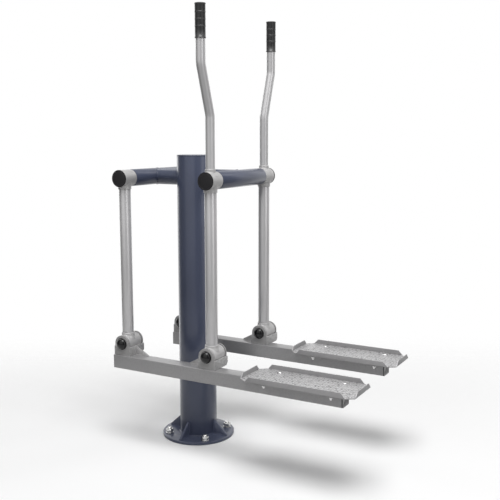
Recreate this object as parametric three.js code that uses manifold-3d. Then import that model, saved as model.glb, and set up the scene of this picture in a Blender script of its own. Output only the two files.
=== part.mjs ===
import * as THREE from 'three';
import { mergeVertices } from 'three/addons/utils/BufferGeometryUtils.js';
import Module from 'manifold-3d';

// Outdoor air walker: a post with an H-shaped top frame that carries two swinging foot beams.
// Millimetres, +Z up. The origin is the middle of the base plate's underside.
// The user stands on the footplates at +X and faces -X, so the left side is at -Y.

const wasm = await Module();
wasm.setup();

// Clearances that every fit shares
const gap = 0.3;
const runningGap = 1;
const overrun = 5;

// Base
const basePlateDiameter = 272;
const basePlateThickness = 10;
const baseEdgeChamfer = 1.5;
const baseGussetMargin = 8.7;
const baseGussetHeight = 52;
const baseGussetThickness = 8;
const baseGussetToe = 4;
const anchorInset = 23;
const anchorCount = 4;
const anchorDiameter = 16;
const anchorHoleDiameter = 18;
const anchorWasherDiameter = 30;
const anchorWasherThickness = 3;
const anchorNutAcrossFlats = 24;
const anchorNutHeight = 13;
const anchorStickOut = 6;

// Post
const postDiameter = 140;
const postWall = 4;
const postRise = 82;
const postCapThickness = 4;
const postCapChamfer = 2;
const postCapSpigotDepth = 6;

// Top frame
const frameTubeDiameter = 61;
const frameTubeWall = 3;
const pivotHeight = 983;
const hangerSpacing = 364;
const hangerOffset = 190;

// Top pivots
const sleeveDiameter = 61;
const sleeveInboard = 35;
const sleeveOutboard = 29;
const sleeveBore = 52;
const sleeveChamfer = 1.5;
const neckFlareDiameter = 55;
const neckFlareHeight = 18;
const neckBlendHeight = 30;
const neckReach = 40;
const neckWall = 2.5;
const neckSocketFloor = 31;
const stubDiameter = 25;
const stubShoulderDiameter = 34;
const stubPlugLength = 30;
const stubNutAcrossFlats = 36;
const stubNutHeight = 6;
const topBearingLength = 40;
const topCapThickness = 3.5;
const topCapChamfer = 1;
const topCapSpigotDepth = 2;

// Hangers and handles. A handle rises from the top pivot, slants outward over a height of its own
// and runs on upright, clear of its grip for a stretch.
const hangerDiameter = 42;
const hangerWall = 3;
const handleDiameter = 31.8;
const handleWall = 2.5;
const handleSlantHeight = 166;
const handleSpread = 54;
const handleBendRadius = 55;
const handleRise = 572;
const gripClear = 78;
const gripLength = 110;
const gripWall = 1.3;
const gripEndWall = 3;
const gripRibCount = 3;
const gripRibStart = 28.5;
const gripRibPitch = 22;
const gripRibWidth = 2.4;
const gripRibHeight = 0.9;
const gripCollarWidth = 4;
const gripCollarHeight = 0.9;

// Lower pivots
const footPivotHeight = 380;
const hubDiameter = 60;
const hubLength = 71;
const hubShift = 7.5;
const hubBore = 40;
const hubNeckReach = 37;
const lowerAxleDiameter = 20;
const lowerAxleDomeDiameter = 43;
const lowerAxleDomeHeight = 15;
const lowerAxleDomeRim = 3;
const lowerAxleDomeStep = 1.5;
const lowerBearingLength = 64;
const nearCheekThickness = 9;
const farCheekThickness = 5;
const cheekRadius = 30.5;
const cheekSetback = 4;
const saddleStep = 4;
const saddleEdgeChamfer = 8;
const saddleDrop = 11;
const beamGussetReach = 56;
const beamGussetThickness = 5;
const beamGussetToe = 3;

// Foot beams
const beamWidth = 50;
const beamWall = 3;
const beamCornerRadius = 3;
const beamBoreCorner = 1.5;
const beamTop = 337;
const beamFrontEnd = 36;
const beamEndInset = 60;
const plugThickness = 5;
const plugSpigotLength = 20;
const plugWall = 3;
const trayBarWidth = 36;
const trayBarThickness = 3;

// Footplates
const trayLength = 406;
const trayWidth = 168;
const traySheet = 3;
const trayCornerLength = 28;
const trayCornerWidth = 22;
const trayRimHeight = 16;
const trayRimChamfer = 15;
const trayCentre = 548;
const trayOutboard = 6;
const trayBoltSpacingX = 236;
const trayBoltSpacingY = 114;
const trayBoltHole = 9;

// Facets round a full turn. They are multiples of 4, so the corners of pieces that fit line up.
const postFacets = 32;
const frameFacets = 24;
const sleeveFacets = 16;
const neckFacets = 12;
const tubeFacets = 16;
const smallFacets = 8;
const cheekFacets = 8;
const bendFacets = 2;
const cornerFacets = 2;
const domeFacets = 2;
const nutSides = 6;

// Worked out from the sizes above
const quarterTurn = Math.PI / 2;
const hangerX = hangerSpacing / 2;
const frameTubeRadius = frameTubeDiameter / 2;
const crossTubeHalf = hangerOffset - sleeveInboard - runningGap;
const postTop = pivotHeight + postRise;
const handleUpperBend = handleRise - gripLength - gripClear;
const handleLowerBend = handleUpperBend - handleSlantHeight;
const anchorCircleDiameter = basePlateDiameter - 2 * anchorInset;
const saddleWidth = hubLength + 2 * runningGap;
const clevisNear = hubShift - saddleWidth / 2 - nearCheekThickness;
const clevisFar = hubShift + saddleWidth / 2 + farCheekThickness;
const clevisFoot = beamTop + gap - footPivotHeight;
const beamShift = clevisNear - cheekSetback + beamWidth / 2;
const beamRearEnd = trayCentre + trayLength / 2 - beamEndInset;
const trayUnderside = beamTop + trayBarThickness + gap;

// Colours and finishes of the parts
const finishes = {
  blue: { color: 0x464c60, roughness: 0.45, metalness: 0.15 },
  silver: { color: 0xa3a3a5, roughness: 0.42, metalness: 0.45 },
  tread: { color: 0xb9b9bc, roughness: 0.5, metalness: 0.5 },
  zinc: { color: 0xc9cacc, roughness: 0.3, metalness: 0.9 },
  steel: { color: 0x8d9095, roughness: 0.35, metalness: 0.85 },
  plastic: { color: 0x17181a, roughness: 0.5, metalness: 0 },
  gloss: { color: 0x0d0e10, roughness: 0.2, metalness: 0 },
  rubber: { color: 0x1d1e20, roughness: 0.8, metalness: 0 },
};

// Turns a closed geometry into a solid for cutting and joining, with its faces pointing out.
function toSolid(geometry) {
  const bare = geometry.clone();
  bare.deleteAttribute('normal');
  bare.deleteAttribute('uv');
  const merged = mergeVertices(bare);
  const index = merged.index.array;
  const position = merged.attributes.position;
  const corners = [new THREE.Vector3(), new THREE.Vector3(), new THREE.Vector3()];
  let volume = 0;
  for (let i = 0; i < index.length; i += 3) {
    corners.forEach((corner, k) => corner.fromBufferAttribute(position, index[i + k]));
    volume += corners[0].dot(corners[1].clone().cross(corners[2]));
  }
  const triangles = Uint32Array.from(index);
  if (volume < 0) {
    for (let i = 0; i < triangles.length; i += 3) {
      const kept = triangles[i];
      triangles[i] = triangles[i + 1];
      triangles[i + 1] = kept;
    }
  }
  const mesh = new wasm.Mesh({
    numProp: 3,
    vertProperties: Float32Array.from(position.array),
    triVerts: triangles,
  });
  return new wasm.Manifold(mesh);
}

// Gives a solid back as a geometry.
function toGeometry(solid) {
  const mesh = solid.getMesh();
  const geometry = new THREE.BufferGeometry();
  geometry.setAttribute('position', new THREE.BufferAttribute(mesh.vertProperties, 3));
  geometry.setIndex(new THREE.BufferAttribute(mesh.triVerts, 1));
  geometry.computeVertexNormals();
  return geometry;
}

// Revolves a profile of [radius, height] pairs about Z.
function revolve(profile, facets) {
  const points = profile.map(([radius, height]) => new THREE.Vector2(radius, height));
  return new THREE.LatheGeometry(points, facets).rotateX(quarterTurn);
}

// The same about Y, with the profile's height running along +Y.
function revolveAcross(profile, facets) {
  const points = profile.map(([radius, height]) => new THREE.Vector2(radius, height));
  return new THREE.LatheGeometry(points, facets);
}

// The profile of a plain tube, closed on itself.
function tubeProfile(outerRadius, innerRadius, bottom, top) {
  return [
    [innerRadius, bottom],
    [outerRadius, bottom],
    [outerRadius, top],
    [innerRadius, top],
    [innerRadius, bottom],
  ];
}

// A round bar about Y, used for bores and sleeves.
function barAcross(radius, length, facets) {
  return new THREE.CylinderGeometry(radius, radius, length, facets);
}

// A round bar about Z from one height to another.
function barUpright(radius, bottom, top, facets) {
  const bar = new THREE.CylinderGeometry(radius, radius, top - bottom, facets).rotateX(quarterTurn);
  return bar.translate(0, 0, (top + bottom) / 2);
}

// An outline in X and Z, extruded along Y and centred on y = 0.
function plateAcross(shape, thickness, curveSegments) {
  const settings = { depth: thickness, bevelEnabled: false, curveSegments };
  return new THREE.ExtrudeGeometry(shape, settings).rotateX(quarterTurn).translate(0, thickness / 2, 0);
}

// A rectangle with round corners, centred on the origin.
function roundedRectangle(path, length, width, radius) {
  const x = length / 2;
  const y = width / 2;
  path.moveTo(-x + radius, -y);
  path.lineTo(x - radius, -y);
  path.absarc(x - radius, -y + radius, radius, -quarterTurn, 0);
  path.lineTo(x, y - radius);
  path.absarc(x - radius, y - radius, radius, 0, quarterTurn);
  path.lineTo(-x + radius, y);
  path.absarc(-x + radius, y - radius, radius, quarterTurn, 2 * quarterTurn);
  path.lineTo(-x, -y + radius);
  path.absarc(-x + radius, -y + radius, radius, 2 * quarterTurn, 3 * quarterTurn);
  return path;
}

// A triangle with a short toe, in X and Z, leaning on z = 0 and on the edge at x = 0.
function gussetShape(reach, height, toe) {
  const shape = new THREE.Shape();
  shape.moveTo(0, 0);
  shape.lineTo(reach, 0);
  shape.lineTo(reach, toe);
  shape.lineTo(toe, height);
  shape.lineTo(0, height);
  return shape;
}

// Base plate with its four gussets and the holes for the anchors.
function makeBasePlate() {
  const radius = basePlateDiameter / 2;
  const disc = revolve([
    [0, 0],
    [radius, 0],
    [radius, basePlateThickness - baseEdgeChamfer],
    [radius - baseEdgeChamfer, basePlateThickness],
    [0, basePlateThickness],
  ], postFacets);
  let solid = toSolid(disc);
  const foot = postDiameter / 2 + gap;
  const reach = radius - foot - baseGussetMargin;
  for (let k = 0; k < anchorCount; k += 1) {
    const gusset = plateAcross(gussetShape(reach, baseGussetHeight, baseGussetToe), baseGussetThickness);
    gusset.translate(foot, 0, basePlateThickness).rotateZ(k * quarterTurn);
    solid = solid.add(toSolid(gusset));
    const hole = barUpright(anchorHoleDiameter / 2, -overrun, basePlateThickness + overrun, smallFacets);
    hole.translate(anchorCircleDiameter / 2, 0, 0).rotateZ((k + 0.5) * quarterTurn);
    solid = solid.subtract(toSolid(hole));
  }
  return toGeometry(solid);
}

// Anchor stud with its washer and nut, cut off level with the underside of the base plate.
function makeAnchor() {
  const studRadius = anchorDiameter / 2;
  const washerBottom = basePlateThickness + gap;
  const washerTop = washerBottom + anchorWasherThickness;
  const nutTop = washerTop + anchorNutHeight;
  const studTop = nutTop + anchorStickOut;
  const stud = revolve([
    [0, gap],
    [studRadius, gap],
    [studRadius, washerBottom],
    [anchorWasherDiameter / 2, washerBottom],
    [anchorWasherDiameter / 2, washerTop],
    [studRadius, washerTop],
    [studRadius, studTop - studRadius / 4],
    [studRadius * 3 / 4, studTop],
    [0, studTop],
  ], smallFacets);
  const nutRadius = anchorNutAcrossFlats / 2 / Math.cos(Math.PI / nutSides);
  const nut = barUpright(nutRadius, washerTop - gap, nutTop, nutSides);
  return toGeometry(toSolid(stud).add(toSolid(nut)));
}

// Post tube, open at both ends.
function makePost() {
  const radius = postDiameter / 2;
  const bottom = basePlateThickness + gap;
  const top = postTop - postCapThickness - gap;
  return revolve(tubeProfile(radius, radius - postWall, bottom, top), postFacets);
}

// Flat cap of the post with a step that centres it in the tube.
function makePostCap() {
  const radius = postDiameter / 2;
  const spigot = radius - postWall - gap;
  const underside = postTop - postCapThickness;
  return revolve([
    [0, underside - postCapSpigotDepth],
    [spigot, underside - postCapSpigotDepth],
    [spigot, underside],
    [radius, underside],
    [radius, postTop - postCapChamfer],
    [radius - postCapChamfer, postTop],
    [0, postTop],
  ], postFacets);
}

// Spine tube from the post to one cross tube, its ends shaped to the round tubes that it meets.
function makeSpine() {
  const tube = revolve(
    tubeProfile(frameTubeRadius, frameTubeRadius - frameTubeWall, 0, hangerX),
    frameFacets,
  ).rotateY(quarterTurn);
  const reach = frameTubeDiameter + overrun;
  const postCut = barUpright(postDiameter / 2 + gap, -reach, reach, postFacets);
  const crossCut = barAcross(frameTubeRadius + gap, 2 * reach, frameFacets).translate(hangerX, 0, 0);
  return toGeometry(toSolid(tube).subtract(toSolid(postCut)).subtract(toSolid(crossCut)));
}

// Cross tube that carries a left and a right pivot, open at both ends.
function makeCrossTube() {
  return revolveAcross(
    tubeProfile(frameTubeRadius, frameTubeRadius - frameTubeWall, -crossTubeHalf, crossTubeHalf),
    frameFacets,
  );
}

// Stub axle along +Y from the middle of the housing: plug in the cross tube, shoulder, journal and nut.
function makeStubAxle() {
  const plugRadius = frameTubeRadius - frameTubeWall - gap;
  const tubeEnd = -sleeveInboard - runningGap;
  const bearingStart = -topBearingLength / 2 - gap;
  const bearingEnd = topBearingLength / 2 + gap;
  const journal = stubDiameter / 2;
  const nutTop = bearingEnd + stubNutHeight;
  const turned = revolveAcross([
    [0, tubeEnd - stubPlugLength],
    [plugRadius, tubeEnd - stubPlugLength],
    [plugRadius, tubeEnd],
    [stubShoulderDiameter / 2, tubeEnd],
    [stubShoulderDiameter / 2, bearingStart],
    [journal, bearingStart],
    [journal, nutTop],
    [0, nutTop],
  ], smallFacets);
  const nutRadius = stubNutAcrossFlats / 2 / Math.cos(Math.PI / nutSides);
  const nut = barAcross(nutRadius, stubNutHeight, nutSides).translate(0, bearingEnd + stubNutHeight / 2, 0);
  return toGeometry(toSolid(turned).add(toSolid(nut)));
}

// Bearing cartridge about Y, between a bore and the shaft in it.
function makeBearing(boreDiameter, shaftDiameter, length) {
  const half = length / 2;
  const profile = tubeProfile(boreDiameter / 2 - gap, shaftDiameter / 2 + gap, -half, half);
  return revolveAcross(profile, sleeveFacets);
}

// One flared neck of a cast housing, from its middle up to the end of its socket.
function neckProfile(tubeRadius, reach) {
  const collar = tubeRadius + neckWall;
  const flare = neckFlareDiameter / 2;
  const midRadius = collar + (flare - collar) / 4;
  const midHeight = (neckFlareHeight + neckBlendHeight) / 2;
  return [
    [0, 0],
    [flare, 0],
    [flare, neckFlareHeight],
    [midRadius, midHeight],
    [collar, neckBlendHeight],
    [collar, reach],
    [0, reach],
  ];
}

// Sleeve about Y with rounded rims, from one place to another, as a solid bar.
function sleeveBody(diameter, start, end) {
  const radius = diameter / 2;
  return revolveAcross([
    [0, start],
    [radius - sleeveChamfer, start],
    [radius, start + sleeveChamfer],
    [radius, end - sleeveChamfer],
    [radius - sleeveChamfer, end],
    [0, end],
  ], sleeveFacets);
}

// Cast top housing: a sleeve with a socket below for the hanger and, at the rear, one above for the handle.
// Its outboard end points to +Y.
function makeTopHousing(hasHandle) {
  const hangerRadius = hangerDiameter / 2;
  const handleRadius = handleDiameter / 2;
  const lowerNeck = revolve(neckProfile(hangerRadius, neckReach), neckFacets).rotateX(2 * quarterTurn);
  let solid = toSolid(sleeveBody(sleeveDiameter, -sleeveInboard, sleeveOutboard)).add(toSolid(lowerNeck));
  const lowerSocket = barUpright(hangerRadius + gap, -neckReach - overrun, -neckSocketFloor, tubeFacets);
  solid = solid.subtract(toSolid(lowerSocket));
  if (hasHandle) {
    const upperNeck = revolve(neckProfile(handleRadius, neckReach), neckFacets);
    const upperSocket = barUpright(handleRadius + gap, neckSocketFloor, neckReach + overrun, tubeFacets);
    solid = solid.add(toSolid(upperNeck)).subtract(toSolid(upperSocket));
  }
  const bore = barAcross(sleeveBore / 2, 2 * (sleeveInboard + overrun), sleeveFacets);
  return toGeometry(solid.subtract(toSolid(bore)));
}

// Flat end cap of a top housing, its step pointing to -Y into the sleeve.
function makeTopCap() {
  const radius = sleeveDiameter / 2;
  const face = sleeveOutboard + gap;
  const spigot = sleeveBore / 2 - gap;
  return revolveAcross([
    [0, face - topCapSpigotDepth],
    [spigot, face - topCapSpigotDepth],
    [spigot, face],
    [radius, face],
    [radius, face + topCapThickness - topCapChamfer],
    [radius - topCapChamfer, face + topCapThickness],
    [0, face + topCapThickness],
  ], sleeveFacets);
}

// Straight hanger tube between the two sockets, measured from the top pivot.
function makeHangerTube() {
  const radius = hangerDiameter / 2;
  const top = -neckSocketFloor - gap;
  const bottom = footPivotHeight - pivotHeight + neckSocketFloor + gap;
  return revolve(tubeProfile(radius, radius - hangerWall, bottom, top), tubeFacets);
}

// Centre line of a handle in Y and Z: straight, a bend outward, straight, a bend back, straight.
// Its stations lie where the line bends, so the straight runs take no steps of their own.
class HandleLine extends THREE.Curve {
  constructor(outward, start, end) {
    super();
    const lean = Math.atan2(handleSpread, handleUpperBend - handleLowerBend);
    const setback = handleBendRadius * Math.tan(lean / 2);
    this.stations = [{ y: 0, z: start, lean: 0 }];
    const addBend = (cornerY, cornerZ, from, to) => {
      const turn = Math.sign(to - from);
      const startY = cornerY - setback * Math.sin(from);
      const startZ = cornerZ - setback * Math.cos(from);
      const centreY = startY + turn * handleBendRadius * Math.cos(from);
      const centreZ = startZ - turn * handleBendRadius * Math.sin(from);
      for (let k = 0; k <= bendFacets; k += 1) {
        const angle = from + (to - from) * k / bendFacets;
        this.stations.push({
          y: centreY - turn * handleBendRadius * Math.cos(angle),
          z: centreZ + turn * handleBendRadius * Math.sin(angle),
          lean: angle,
        });
      }
    };
    addBend(0, handleLowerBend, 0, lean);
    addBend(handleSpread, handleUpperBend, lean, 0);
    this.stations.push({ y: handleSpread, z: end, lean: 0 });
    this.outward = outward;
  }

  at(share) {
    const last = this.stations.length - 1;
    const place = Math.min(Math.max(share, 0), 1) * last;
    const low = Math.min(Math.floor(place), last - 1);
    const rest = place - low;
    const a = this.stations[low];
    const b = this.stations[low + 1];
    return {
      y: a.y + (b.y - a.y) * rest,
      z: a.z + (b.z - a.z) * rest,
      lean: a.lean + (b.lean - a.lean) * rest,
    };
  }

  getPoint(share, target = new THREE.Vector3()) {
    const spot = this.at(share);
    return target.set(0, this.outward * spot.y, spot.z);
  }

  getTangent(share, target = new THREE.Vector3()) {
    const spot = this.at(share);
    return target.set(0, this.outward * Math.sin(spot.lean), Math.cos(spot.lean));
  }

  getPointAt(share, target) {
    return this.getPoint(share, target);
  }

  getTangentAt(share, target) {
    return this.getTangent(share, target);
  }
}

// Bent handle tube, measured from the top pivot, leaning outward on its own side.
function makeHandle(outward) {
  const radius = handleDiameter / 2;
  const end = handleRise - gripEndWall - gap;
  const line = new HandleLine(outward, neckSocketFloor + gap, end);
  const ring = new THREE.Shape();
  ring.absarc(0, 0, radius, 0, 4 * quarterTurn);
  const bore = new THREE.Path();
  bore.absarc(0, 0, radius - handleWall, 0, 4 * quarterTurn);
  ring.holes.push(bore);
  const settings = {
    steps: line.stations.length - 1,
    extrudePath: line,
    bevelEnabled: false,
    curveSegments: tubeFacets / 2,
  };
  return toGeometry(toSolid(new THREE.ExtrudeGeometry(ring, settings)));
}

// Ribbed grip with a collar at each end and a closed top, measured from the top pivot.
function makeGrip() {
  const bore = handleDiameter / 2 + gap;
  const body = bore + gripWall;
  const top = handleRise;
  const bottom = top - gripLength;
  const profile = [[bore, bottom], [body + gripCollarHeight, bottom]];
  profile.push([body + gripCollarHeight, bottom + gripCollarWidth], [body, bottom + gripCollarWidth]);
  for (let k = gripRibCount - 1; k >= 0; k -= 1) {
    const middle = top - gripRibStart - k * gripRibPitch;
    profile.push([body, middle - gripRibWidth / 2], [body + gripRibHeight, middle]);
    profile.push([body, middle + gripRibWidth / 2]);
  }
  profile.push([body, top - gripCollarWidth], [body + gripCollarHeight, top - gripCollarWidth]);
  profile.push([body + gripCollarHeight, top - gripCollarHeight], [body, top], [0, top]);
  profile.push([0, top - gripEndWall], [bore, top - gripEndWall], [bore, bottom]);
  return revolve(profile, tubeFacets);
}

// Cast hub at the foot of a hanger: a sleeve between the cheeks with a socket above for the tube.
// The sleeve reaches further to +Y, as the bracket that holds it does.
function makeHub() {
  const hangerRadius = hangerDiameter / 2;
  const neck = revolve(neckProfile(hangerRadius, hubNeckReach), neckFacets);
  const socket = barUpright(hangerRadius + gap, neckSocketFloor, hubNeckReach + overrun, tubeFacets);
  const bore = barAcross(hubBore / 2, hubLength + 2 * overrun, sleeveFacets).translate(0, hubShift, 0);
  const sleeve = sleeveBody(hubDiameter, hubShift - hubLength / 2, hubShift + hubLength / 2);
  const body = toSolid(sleeve).add(toSolid(neck));
  return toGeometry(body.subtract(toSolid(socket)).subtract(toSolid(bore)));
}

// Pivot bolt of a lower pivot with a domed cover on each end, about Y.
function makeLowerAxle() {
  const pin = lowerAxleDiameter / 2;
  const rim = lowerAxleDomeDiameter / 2;
  const dome = rim - lowerAxleDomeStep;
  const bulge = lowerAxleDomeHeight - lowerAxleDomeRim;
  const cover = [[pin, 0], [rim, 0], [rim, lowerAxleDomeRim], [dome, lowerAxleDomeRim]];
  for (let k = 1; k <= domeFacets; k += 1) {
    const angle = quarterTurn * k / domeFacets;
    cover.push([k < domeFacets ? dome * Math.cos(angle) : 0, lowerAxleDomeRim + bulge * Math.sin(angle)]);
  }
  const near = cover.map(([radius, rise]) => [radius, clevisNear - gap - rise]).reverse();
  const far = cover.map(([radius, rise]) => [radius, clevisFar + gap + rise]);
  return revolveAcross([...near, ...far], tubeFacets);
}

// Bracket on a foot beam: two round-topped cheeks on a hollowed saddle, with a gusset along the beam.
// The facing is +1 where the gusset runs to +X and -1 where it runs to -X.
function makeClevis(facing) {
  const saddleHalf = cheekRadius + saddleStep;
  const shape = new THREE.Shape();
  shape.moveTo(-saddleHalf, clevisFoot);
  shape.lineTo(saddleHalf, clevisFoot);
  shape.lineTo(saddleHalf, -saddleDrop);
  shape.lineTo(cheekRadius, -saddleDrop);
  shape.lineTo(cheekRadius, 0);
  shape.absarc(0, 0, cheekRadius, 0, 2 * quarterTurn);
  shape.lineTo(-cheekRadius, -saddleDrop);
  shape.lineTo(-saddleHalf, -saddleDrop);
  const middle = (clevisNear + clevisFar) / 2;
  const span = clevisFar - clevisNear;
  let solid = toSolid(plateAcross(shape, span, cheekFacets).translate(0, middle, 0));
  const slotTop = cheekRadius + overrun;
  const opening = new THREE.BoxGeometry(2 * slotTop, saddleWidth, slotTop + saddleDrop);
  opening.translate(0, hubShift, (slotTop - saddleDrop) / 2);
  const trough = barAcross(hubDiameter / 2 + runningGap, saddleWidth, sleeveFacets).translate(0, hubShift, 0);
  const bore = barAcross(lowerAxleDiameter / 2 + gap, span + 2 * overrun, tubeFacets).translate(0, middle, 0);
  solid = solid.subtract(toSolid(opening)).subtract(toSolid(trough)).subtract(toSolid(bore));
  const edge = new THREE.BoxGeometry(
    2 * slotTop,
    saddleEdgeChamfer * Math.SQRT2,
    saddleEdgeChamfer * Math.SQRT2,
  ).rotateX(quarterTurn / 2).translate(0, clevisFar, clevisFoot);
  solid = solid.subtract(toSolid(edge));
  const height = -saddleDrop - clevisFoot;
  const gusset = plateAcross(gussetShape(beamGussetReach, height, beamGussetToe), beamGussetThickness);
  gusset.translate(saddleHalf, 0, clevisFoot);
  if (facing < 0) {
    gusset.rotateZ(2 * quarterTurn);
  }
  return toGeometry(solid.add(toSolid(gusset)));
}

// Square foot beam along X with the two cross bars that carry the footplate, centred on y = 0.
function makeBeam() {
  const start = -hangerX - beamFrontEnd + plugThickness + gap;
  const end = beamRearEnd - plugThickness - gap;
  const inner = beamWidth - 2 * beamWall;
  const section = roundedRectangle(new THREE.Shape(), beamWidth, beamWidth, beamCornerRadius);
  section.holes.push(roundedRectangle(new THREE.Path(), inner, inner, beamBoreCorner));
  const settings = { depth: end - start, bevelEnabled: false, curveSegments: cornerFacets };
  const tube = new THREE.ExtrudeGeometry(section, settings).rotateY(quarterTurn);
  let solid = toSolid(tube.translate(start, 0, beamTop - beamWidth / 2));
  const barLength = trayWidth - 2 * traySheet;
  for (const side of [-1, 1]) {
    const x = trayCentre + side * trayBoltSpacingX / 2;
    const bar = new THREE.BoxGeometry(trayBarWidth, barLength, trayBarThickness + gap);
    bar.translate(x, -trayOutboard, beamTop + (trayBarThickness - gap) / 2);
    solid = solid.add(toSolid(bar));
    for (const hand of [-1, 1]) {
      const hole = barUpright(trayBoltHole / 2, beamTop - overrun, trayUnderside + overrun, smallFacets);
      hole.translate(x, hand * trayBoltSpacingY / 2 - trayOutboard, 0);
      solid = solid.subtract(toSolid(hole));
    }
  }
  return toGeometry(solid);
}

// Plug in an end of a foot beam: a flange with a hollow spigot that points to -X.
function makeBeamPlug() {
  const spigot = beamWidth - 2 * beamWall - 2 * gap;
  const flangeShape = roundedRectangle(new THREE.Shape(), beamWidth, beamWidth, beamCornerRadius);
  const flange = new THREE.ExtrudeGeometry(flangeShape, {
    depth: plugThickness,
    bevelEnabled: false,
    curveSegments: cornerFacets,
  });
  const spigotShape = roundedRectangle(new THREE.Shape(), spigot, spigot, beamBoreCorner);
  const hollow = spigot - 2 * plugWall;
  spigotShape.holes.push(roundedRectangle(new THREE.Path(), hollow, hollow, beamBoreCorner / 2));
  const ring = new THREE.ExtrudeGeometry(spigotShape, {
    depth: plugSpigotLength + gap,
    bevelEnabled: false,
    curveSegments: cornerFacets,
  }).translate(0, 0, -plugSpigotLength);
  return toGeometry(toSolid(flange.rotateY(quarterTurn)).add(toSolid(ring.rotateY(quarterTurn))));
}

// One upturned rim of a footplate, its length along X, its foot on z = 0.
function rimPlate(length) {
  const half = length / 2;
  const height = traySheet + trayRimHeight;
  const shape = new THREE.Shape();
  shape.moveTo(-half, 0);
  shape.lineTo(half, 0);
  shape.lineTo(half, traySheet);
  shape.lineTo(half - trayRimChamfer, height);
  shape.lineTo(-half + trayRimChamfer, height);
  shape.lineTo(-half, traySheet);
  return plateAcross(shape, traySheet);
}

// Footplate: a folded sheet tray with four upturned rims and four bolt holes, centred on the origin,
// with its underside on z = 0.
function makeFootplate() {
  const x = trayLength / 2;
  const y = trayWidth / 2;
  const foldX = x - trayCornerLength;
  const foldY = y - trayCornerWidth;
  const outline = new THREE.Shape();
  outline.moveTo(-foldX, -y);
  outline.lineTo(foldX, -y);
  outline.lineTo(x, -foldY);
  outline.lineTo(x, foldY);
  outline.lineTo(foldX, y);
  outline.lineTo(-foldX, y);
  outline.lineTo(-x, foldY);
  outline.lineTo(-x, -foldY);
  let solid = toSolid(new THREE.ExtrudeGeometry(outline, { depth: traySheet, bevelEnabled: false }));
  for (const side of [-1, 1]) {
    const longRim = rimPlate(2 * foldX);
    longRim.translate(0, side * (trayWidth - traySheet) / 2, 0);
    const shortRim = rimPlate(2 * foldY).rotateZ(quarterTurn);
    shortRim.translate(side * (trayLength - traySheet) / 2, 0, 0);
    solid = solid.add(toSolid(longRim)).add(toSolid(shortRim));
    for (const hand of [-1, 1]) {
      const hole = barUpright(trayBoltHole / 2, -overrun, traySheet + overrun, smallFacets);
      hole.translate(side * trayBoltSpacingX / 2, hand * trayBoltSpacingY / 2, 0);
      solid = solid.subtract(toSolid(hole));
    }
  }
  return toGeometry(solid);
}

// Adds one named piece to a group.
function addPiece(group, name, geometry, finish) {
  const mesh = new THREE.Mesh(geometry, new THREE.MeshStandardMaterial(finishes[finish]));
  mesh.name = name;
  group.add(mesh);
  return mesh;
}

// A group placed at a point.
function groupAt(parent, x, y, z) {
  const group = new THREE.Group();
  group.position.set(x, y, z);
  parent.add(group);
  return group;
}

// Base, post and top frame, which stand still.
function addFrame(parent) {
  addPiece(parent, 'base_plate', makeBasePlate(), 'blue');
  const anchorRadius = anchorCircleDiameter / 2;
  for (let k = 0; k < anchorCount; k += 1) {
    const angle = (k + 0.5) * quarterTurn;
    const place = groupAt(parent, anchorRadius * Math.cos(angle), anchorRadius * Math.sin(angle), 0);
    addPiece(place, `anchor_bolt_${k + 1}`, makeAnchor(), 'zinc');
  }
  addPiece(parent, 'post', makePost(), 'blue');
  addPiece(parent, 'post_cap', makePostCap(), 'blue');
  const frame = groupAt(parent, 0, 0, pivotHeight);
  addPiece(frame, 'spine_tube_rear', makeSpine(), 'blue');
  addPiece(frame, 'spine_tube_front', makeSpine(), 'blue').rotation.z = 2 * quarterTurn;
  addPiece(frame, 'cross_tube_rear', makeCrossTube(), 'blue').position.x = hangerX;
  addPiece(frame, 'cross_tube_front', makeCrossTube(), 'blue').position.x = -hangerX;
}

// One top pivot with its hanger and, at the rear, its handle and grip.
function addHanger(parent, side, end) {
  const label = `${side.name}_${end.name}`;
  const pivot = groupAt(parent, end.x, side.y * hangerOffset, pivotHeight);
  const turned = groupAt(pivot, 0, 0, 0);
  turned.rotation.z = side.y < 0 ? 2 * quarterTurn : 0;
  addPiece(turned, `${label}_stub_axle`, makeStubAxle(), 'steel');
  addPiece(turned, `${label}_top_cap`, makeTopCap(), 'plastic');
  addPiece(pivot, `${label}_top_bearing`, makeBearing(sleeveBore, stubDiameter, topBearingLength), 'steel');
  addPiece(turned, `${label}_top_housing`, makeTopHousing(end.hasHandle), 'silver');
  addPiece(pivot, `${label}_hanger_tube`, makeHangerTube(), 'silver');
  if (end.hasHandle) {
    addPiece(pivot, `${side.name}_handle_tube`, makeHandle(side.y), 'silver');
    const grip = addPiece(pivot, `${side.name}_grip`, makeGrip(), 'rubber');
    grip.position.y = side.y * handleSpread;
  }
}

// One lower pivot: the hub on the hanger, its bearing, the bolt and the bracket on the beam.
function addLowerPivot(parent, side, end) {
  const label = `${side.name}_${end.name}`;
  const pivot = groupAt(parent, end.x, side.y * hangerOffset, footPivotHeight);
  addPiece(pivot, `${label}_hub`, makeHub(), 'silver');
  const bearing = makeBearing(hubBore, lowerAxleDiameter, lowerBearingLength);
  addPiece(pivot, `${label}_hub_bearing`, bearing.translate(0, hubShift, 0), 'steel');
  addPiece(pivot, `${label}_pivot_bolt`, makeLowerAxle(), 'gloss');
  addPiece(pivot, `${label}_clevis`, makeClevis(end.facing), 'silver');
}

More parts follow.
